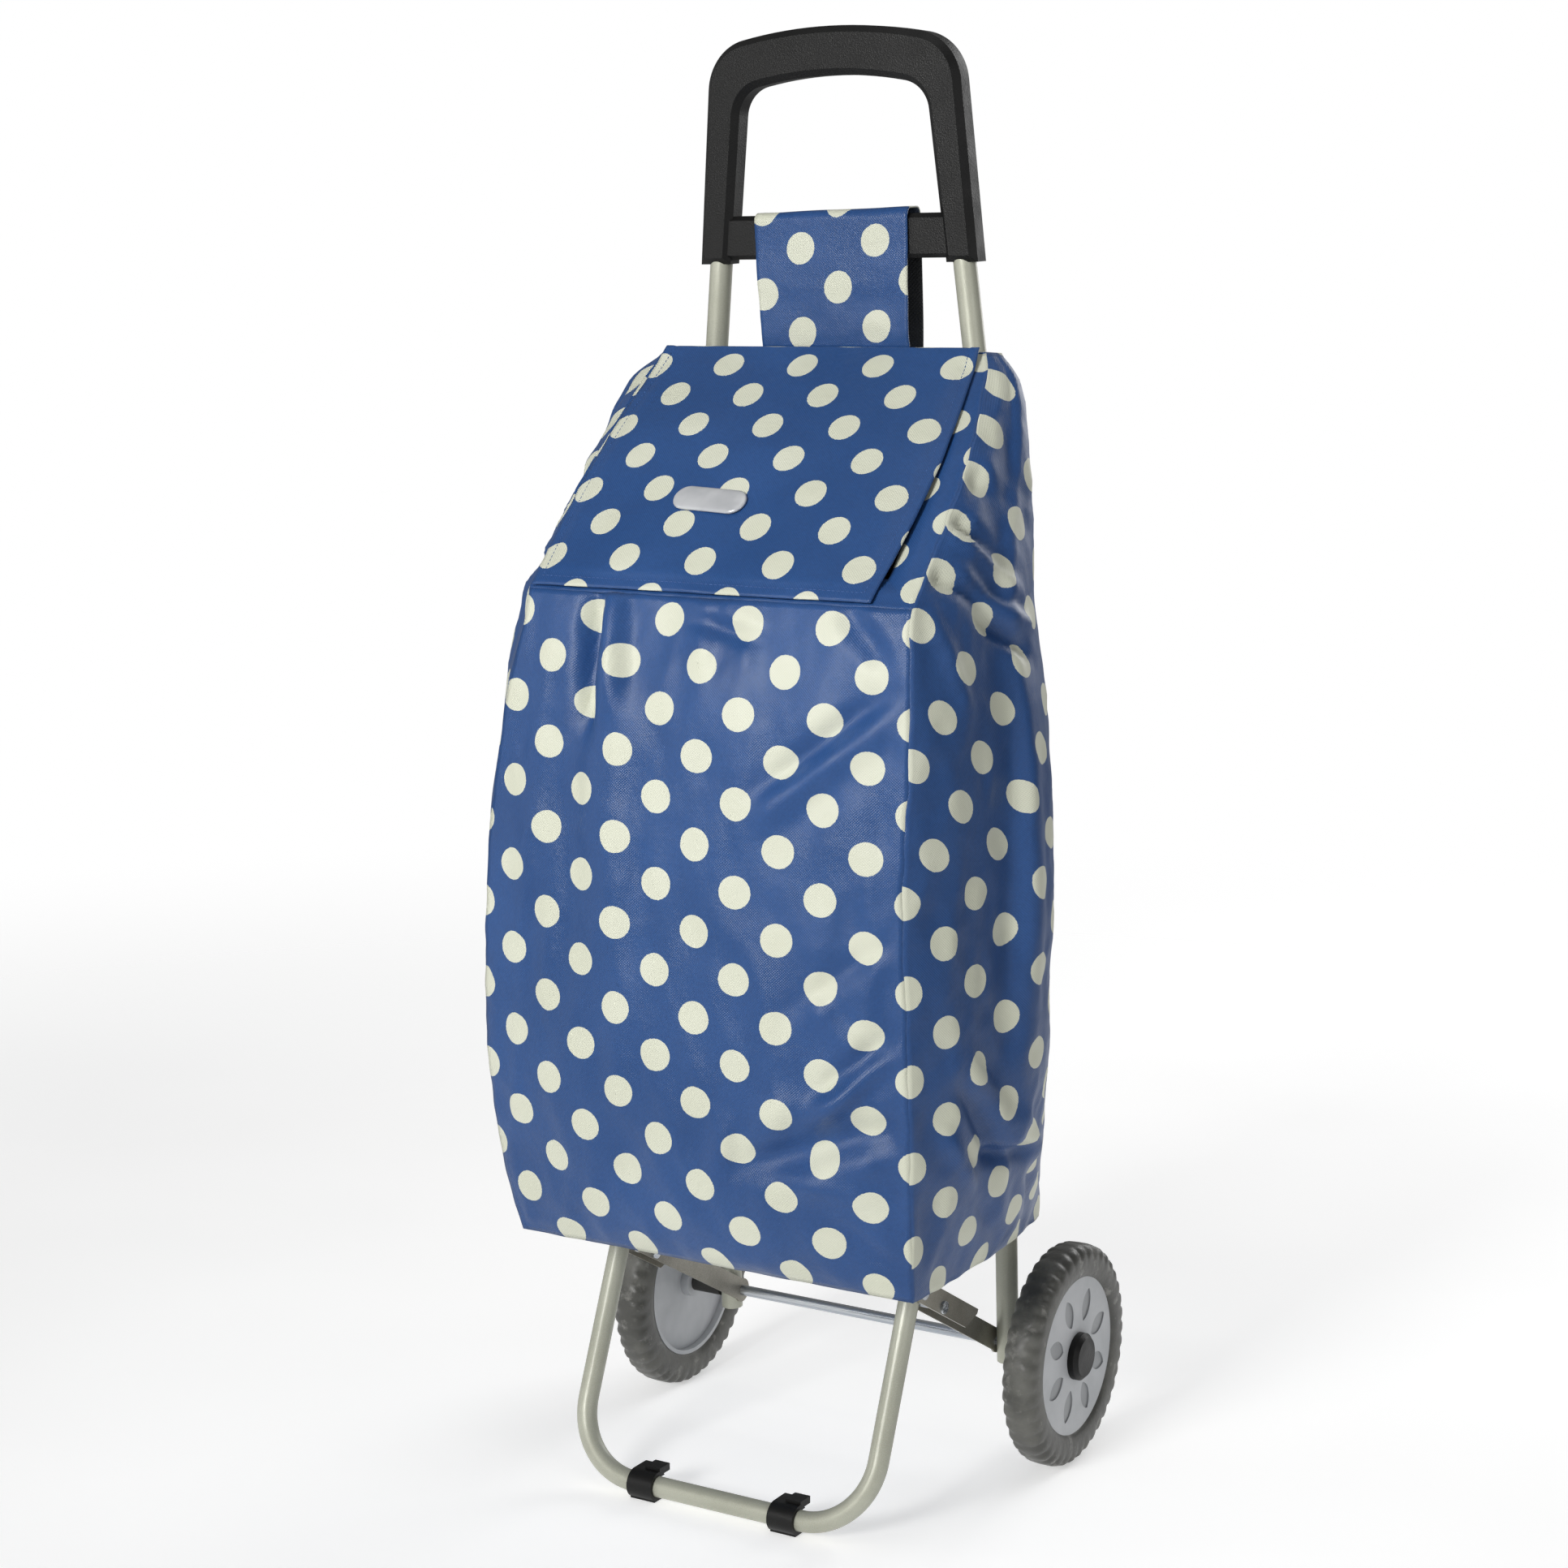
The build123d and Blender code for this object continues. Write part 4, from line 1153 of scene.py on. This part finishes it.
def strap_sheet():
    profile = strap_profile()
    lengths = path_lengths(profile)
    rows = len(profile) - 1
    columns = 46

    def place(s, t):
        row = round(t * rows)
        y, height = profile[row]
        x = strap_x(s, height)
        free = smoothstep(0.0, 0.02, STRAP_TOP - 0.022 - height)
        free *= smoothstep(0.0, 0.012, height - STRAP_FOOT)
        front = 1 if row <= FRONT_STEPS else 0
        wave = crumple((x, height), (0.050, 0.040), 61.0) * 0.0016 + 0.0008
        curl = 0.0010 * (abs(x) / STRAP_HALF) ** 6
        top_wave = 0.0010 + 0.0012 * x / STRAP_HALF
        top_wave += 0.0006 * noise.noise(Vector((x * 30, 5.0, 1.0)))
        y -= front * free * (wave + curl)
        height += top_wave * smoothstep(0.0, 0.006, height - STRAP_TOP + 0.006)
        return leaning(x, y, height)

    def uv(s, t):
        row = round(t * rows)
        x = strap_x(s, profile[row][1])
        return (x - STRAP_DOT[0], STRAP_FOOT + lengths[row] - STRAP_DOT[1] - STRAP_SKEW * x)

    return grid_piece("strap_cover", columns, rows, place, uv), lengths[-1]


def lining_sheet():
    rows = 22

    def place(s, t):
        height = LINING_TOP + (STRAP_FOOT - LINING_TOP) * t
        x = -strap_x(s, height)
        slack = 0.0010 * math.sin(math.pi * t)
        slack += 0.0005 * noise.noise(Vector((x * 28, height * 28, 8.0)))
        return leaning(-x, STRAP_REACH + slack * smoothstep(0.0, 0.2, t), height)

    def uv(s, t):
        return (STRAP_HALF * (1 - 2 * s), (LINING_TOP - STRAP_FOOT) * t)

    return grid_piece("strap_backing", 40, rows, place, uv)


# ---- tube loops ----
LOOP_HEIGHTS = (0.240, 0.545)
LOOP_HALF = 0.0125
TUBE_X = 0.118
LOOP_RADIUS = 0.0092             # middle of the band round the tube
LOOP_FLARE = 0.006               # its ends spread where they are sewn on
LOOP_THICKNESS = 0.0011


def tube_loop(name, side, height):
    """A band of webbing sewn to the bag's back that goes round one rear tube."""
    z = AXLE_Z + height * math.cos(LEAN)
    bag_y = AXLE_Y + section(z, BACK_Y) - (AXLE_Y - height * math.sin(LEAN))
    arc_steps, leg_steps = 20, 8

    def leg_point(share):
        """A point on the right leg, from the bag at 0 to the tube at 1."""
        return LOOP_RADIUS + LOOP_FLARE * (1 - share) ** 2, bag_y + 0.0006 - bag_y * share

    profile = []
    for index in range(leg_steps):
        x, y = leg_point(index / leg_steps)
        profile.append((-x, y))
    for index in range(arc_steps + 1):
        angle = math.pi - math.pi * index / arc_steps
        profile.append((LOOP_RADIUS * math.cos(angle), LOOP_RADIUS * math.sin(angle)))
    for index in range(leg_steps):
        profile.append(leg_point(1 - (index + 1) / leg_steps))
    lengths = path_lengths(profile)
    last = len(profile) - 1

    def place(s, t):
        x, y = profile[round(s * last)]
        return leaning(side * TUBE_X + x, y, height + LOOP_HALF * (2 * t - 1))

    def uv(s, t):
        return (lengths[round(s * last)], 2 * LOOP_HALF * t)

    piece = grid_piece(name, last, 8, place, uv)
    finish_piece(piece, "black_webbing", WEBBING)
    thicken(piece, LOOP_THICKNESS, 0.0)
    return piece


# ---- tyres ----
SCALLOPS = 42
TYRE_BORE = 0.0569
TYRE_BORE_HALF = 0.0104
TYRE_PROFILE = [
    # radius, distance from the wheel's middle, how much the scallops cut here
    (0.0572, 0.0108, 0.0),
    (0.0600, 0.0122, 0.0),
    (0.0640, 0.0130, 0.0),
    (0.0700, 0.0130, 0.1),
    (0.0740, 0.0126, 0.5),
    (0.0772, 0.0112, 1.0),
    (0.0790, 0.0090, 0.9),
    (0.0798, 0.0060, 0.5),
    (0.0800, 0.0030, 0.1),
]


def tyre_piece(name, node_name):
    low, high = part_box(node_name)
    centre = (low + high) / 2
    ring = TYRE_PROFILE + [(r, -x, cut) for r, x, cut in reversed(TYRE_PROFILE)]
    ring += [(TYRE_BORE, -TYRE_BORE_HALF, 0.0), (TYRE_BORE, TYRE_BORE_HALF, 0.0)]
    columns = SCALLOPS * 8

    def place(s, t):
        index = round(t * len(ring)) % len(ring)
        radius, x, cut = ring[index]
        angle = 2 * math.pi * s
        phase = SCALLOPS * angle + (0.6 if x < 0 else 0.0)
        notch = (0.5 - 0.5 * math.cos(phase)) ** 1.6
        lump = noise.noise(Vector((math.cos(angle) * 3, math.sin(angle) * 3, x * 60)))
        radius -= cut * 0.0013 * notch + cut * 0.0004 * lump
        x -= math.copysign(cut * 0.0012 * notch, x)
        return centre + Vector((x, radius * math.cos(angle), radius * math.sin(angle)))

    def uv(s, t):
        return (s * 0.5, t * 0.1)

    piece = grid_piece(name, columns, len(ring), place, uv, closed=True)
    weld(piece)
    return piece


def weld(piece):
    """Joins the first and last rings of a mesh whose profile closes on itself."""
    made = bmesh.new()
    made.from_mesh(piece.data)
    bmesh.ops.remove_doubles(made, verts=made.verts, dist=1e-6)
    bmesh.ops.recalc_face_normals(made, faces=made.faces)
    made.to_mesh(piece.data)
    made.free()
    piece.data.shade_smooth()


def fold_away(piece):
    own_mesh(piece)


def bag_piece(piece, nodes, thickness=FABRIC):
    finish_piece(piece, "dotted_fabric", DOTTED, LINING)
    thicken(piece, thickness, -1.0, inside=True)
    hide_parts(*nodes)
    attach(piece, "frame")
    fold_away(piece)


bag_piece(front_panel(), ["bag_front_panel"])
bag_piece(gusset("bag_gusset_left", -1, 71.0), ["bag_side_left"])
bag_piece(gusset("bag_gusset_right", 1, 83.0), ["bag_side_right"])
bag_piece(back_panel(), ["bag_back_panel"])
bag_piece(base_panel(), ["bag_base_panel"])
bag_piece(top_panel(), ["bag_top_panel"])
bag_piece(mouth_hem(), ["mouth_hem"], HEM_THICKNESS)

stitches = flap_stitches()
finish_piece(stitches, "dotted_fabric", THREAD)
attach(stitches, "flap")
fold_away(stitches)

flap = flap_sheet()
finish_piece(flap, "dotted_fabric", DOTTED, LINING)
thicken(flap, FLAP_THICKNESS, -1.0, inside=True)
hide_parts("flap_panel")
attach(flap, "flap")
fold_away(flap)

for tape_name, body, cad_tape, above in (
    ("hook_tape", "flap", "flap_hook_tape", under_flap),
    ("loop_tape", "frame", "mouth_loop_tape", on_border),
):
    tape = tape_sheet(tape_name, above)
    finish_piece(tape, "black_webbing", WEBBING)
    thicken(tape, TAPE_THICKNESS, -1.0)
    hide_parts(cad_tape)
    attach(tape, body)
    fold_away(tape)

dome = badge()
finish_piece(dome, "badge_gel", GEL)
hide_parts("flap_badge")
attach(dome, "flap")
fold_away(dome)

strap, strap_length = strap_sheet()
finish_piece(strap, "dotted_fabric", DOTTED, LINING)
thicken(strap, STRAP_THICKNESS, 0.0, inside=True)
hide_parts("hanging_strap")
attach(strap, "frame")

backing = lining_sheet()
finish_piece(backing, "black_webbing", WEBBING)
thicken(backing, STRAP_THICKNESS, 0.0)
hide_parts("strap_lining")
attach(backing, "frame")

for side_name, sign in SIDES.items():
    for level, loop_height in zip(("low", "high"), LOOP_HEIGHTS):
        loop = tube_loop(f"loop_{level}_{side_name}", sign, loop_height)
        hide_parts("tube_loops")
        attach(loop, "frame")
    tyre = tyre_piece(f"foam_tyre_{side_name}", f"tyre_{side_name}")
    finish_piece(tyre, "tyre_foam", FOAM)
    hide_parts(f"tyre_{side_name}")
    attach(tyre, f"wheel_{side_name}")


# ---- stage, lights and camera ----
WHITE = (1.0, 1.0, 1.0, 1.0)
AMBIENT = 0.22                   # the world's light, while the camera sees it as white
LIGHTS = [
    # name, place, target, size in metres, power in watts, colour, spread in degrees
    ("key", (-0.25, -2.7, 1.30), (0.0, -0.1, 0.66), 0.8, 6.0, (1.0, 0.995, 0.98), 50),
    ("fill", (-2.3, -1.6, 0.7), (0.0, 0.0, 0.5), 1.6, 10.0, WHITE[:3], 180),
    ("side", (2.5, -1.3, 1.1), (0.1, 0.0, 0.5), 1.4, 9.0, WHITE[:3], 180),
    ("top", (0.3, -0.3, 3.2), (0.0, 0.0, 0.4), 2.0, 11.0, WHITE[:3], 180),
    ("back", (0.6, 2.6, 1.6), (0.0, 0.0, 0.5), 1.6, 30.0, WHITE[:3], 180),
]


def floor():
    """A pale round floor that fades out into the white studio."""
    rings, spokes, radius = 24, 96, 3.0

    def place(s, t):
        angle = 2 * math.pi * s
        reach = radius * (0.002 + 0.998 * t)
        return Vector((reach * math.cos(angle), reach * math.sin(angle), 0.0))

    piece = grid_piece("studio_floor", spokes, rings, place, lambda s, t: (s, t), closed=True)
    add_faces(piece, [tuple(range(spokes))])
    material, tree = new_material(
        "studio_floor", Roughness=0.85, Emission_Strength=0.44, Emission_Color=WHITE
    )
    inputs = tree.nodes["Principled BSDF"].inputs
    patch = patches(tree, 2.0, 2.0)
    pale = mix_colour(tree, patch, srgb(226, 226, 226), srgb(231, 231, 231))
    tree.links.new(pale, inputs["Base Color"])
    where = node(tree, "TexCoord").outputs["Object"]
    reach = vector_math(tree, "LENGTH", where)
    tree.links.new(map_range(tree, reach, 2.6, 0.5), inputs["Alpha"])
    piece.data.materials.append(material)


def area_light(name, place, target, size, power, colour, spread):
    data = bpy.data.lights.new(name, "AREA")
    data.size = size
    data.spread = math.radians(spread)
    data.energy = power
    data.color = colour
    light = add_object(name, data)
    light.location = place
    light.rotation_euler = (Vector(target) - Vector(place)).to_track_quat("-Z", "Y").to_euler()


floor()
for light_values in LIGHTS:
    area_light(*light_values)

world = bpy.data.worlds.new("studio")
world.use_nodes = True
sky = world.node_tree
background = sky.nodes["Background"]
seen = node(sky, "LightPath").outputs["Is Camera Ray"]
background.inputs["Color"].default_value = WHITE
sky.links.new(map_range(sky, seen, 0.0, 1.0, AMBIENT, 1.0), background.inputs["Strength"])
bpy.context.scene.world = world
bpy.context.scene.view_settings.view_transform = "Standard"

CAMERA_PLACE = (1.0236, -1.7564, 0.8194)
CAMERA_AIM = (-0.5041, 0.8491, -0.1582)
camera_data = bpy.data.cameras.new("camera")
camera_data.lens = 67.5
camera_data.sensor_width = 36.0
camera = add_object("camera", camera_data)
camera.location = CAMERA_PLACE
camera.rotation_euler = Vector(CAMERA_AIM).to_track_quat("-Z", "Y").to_euler()
bpy.context.scene.camera = camera
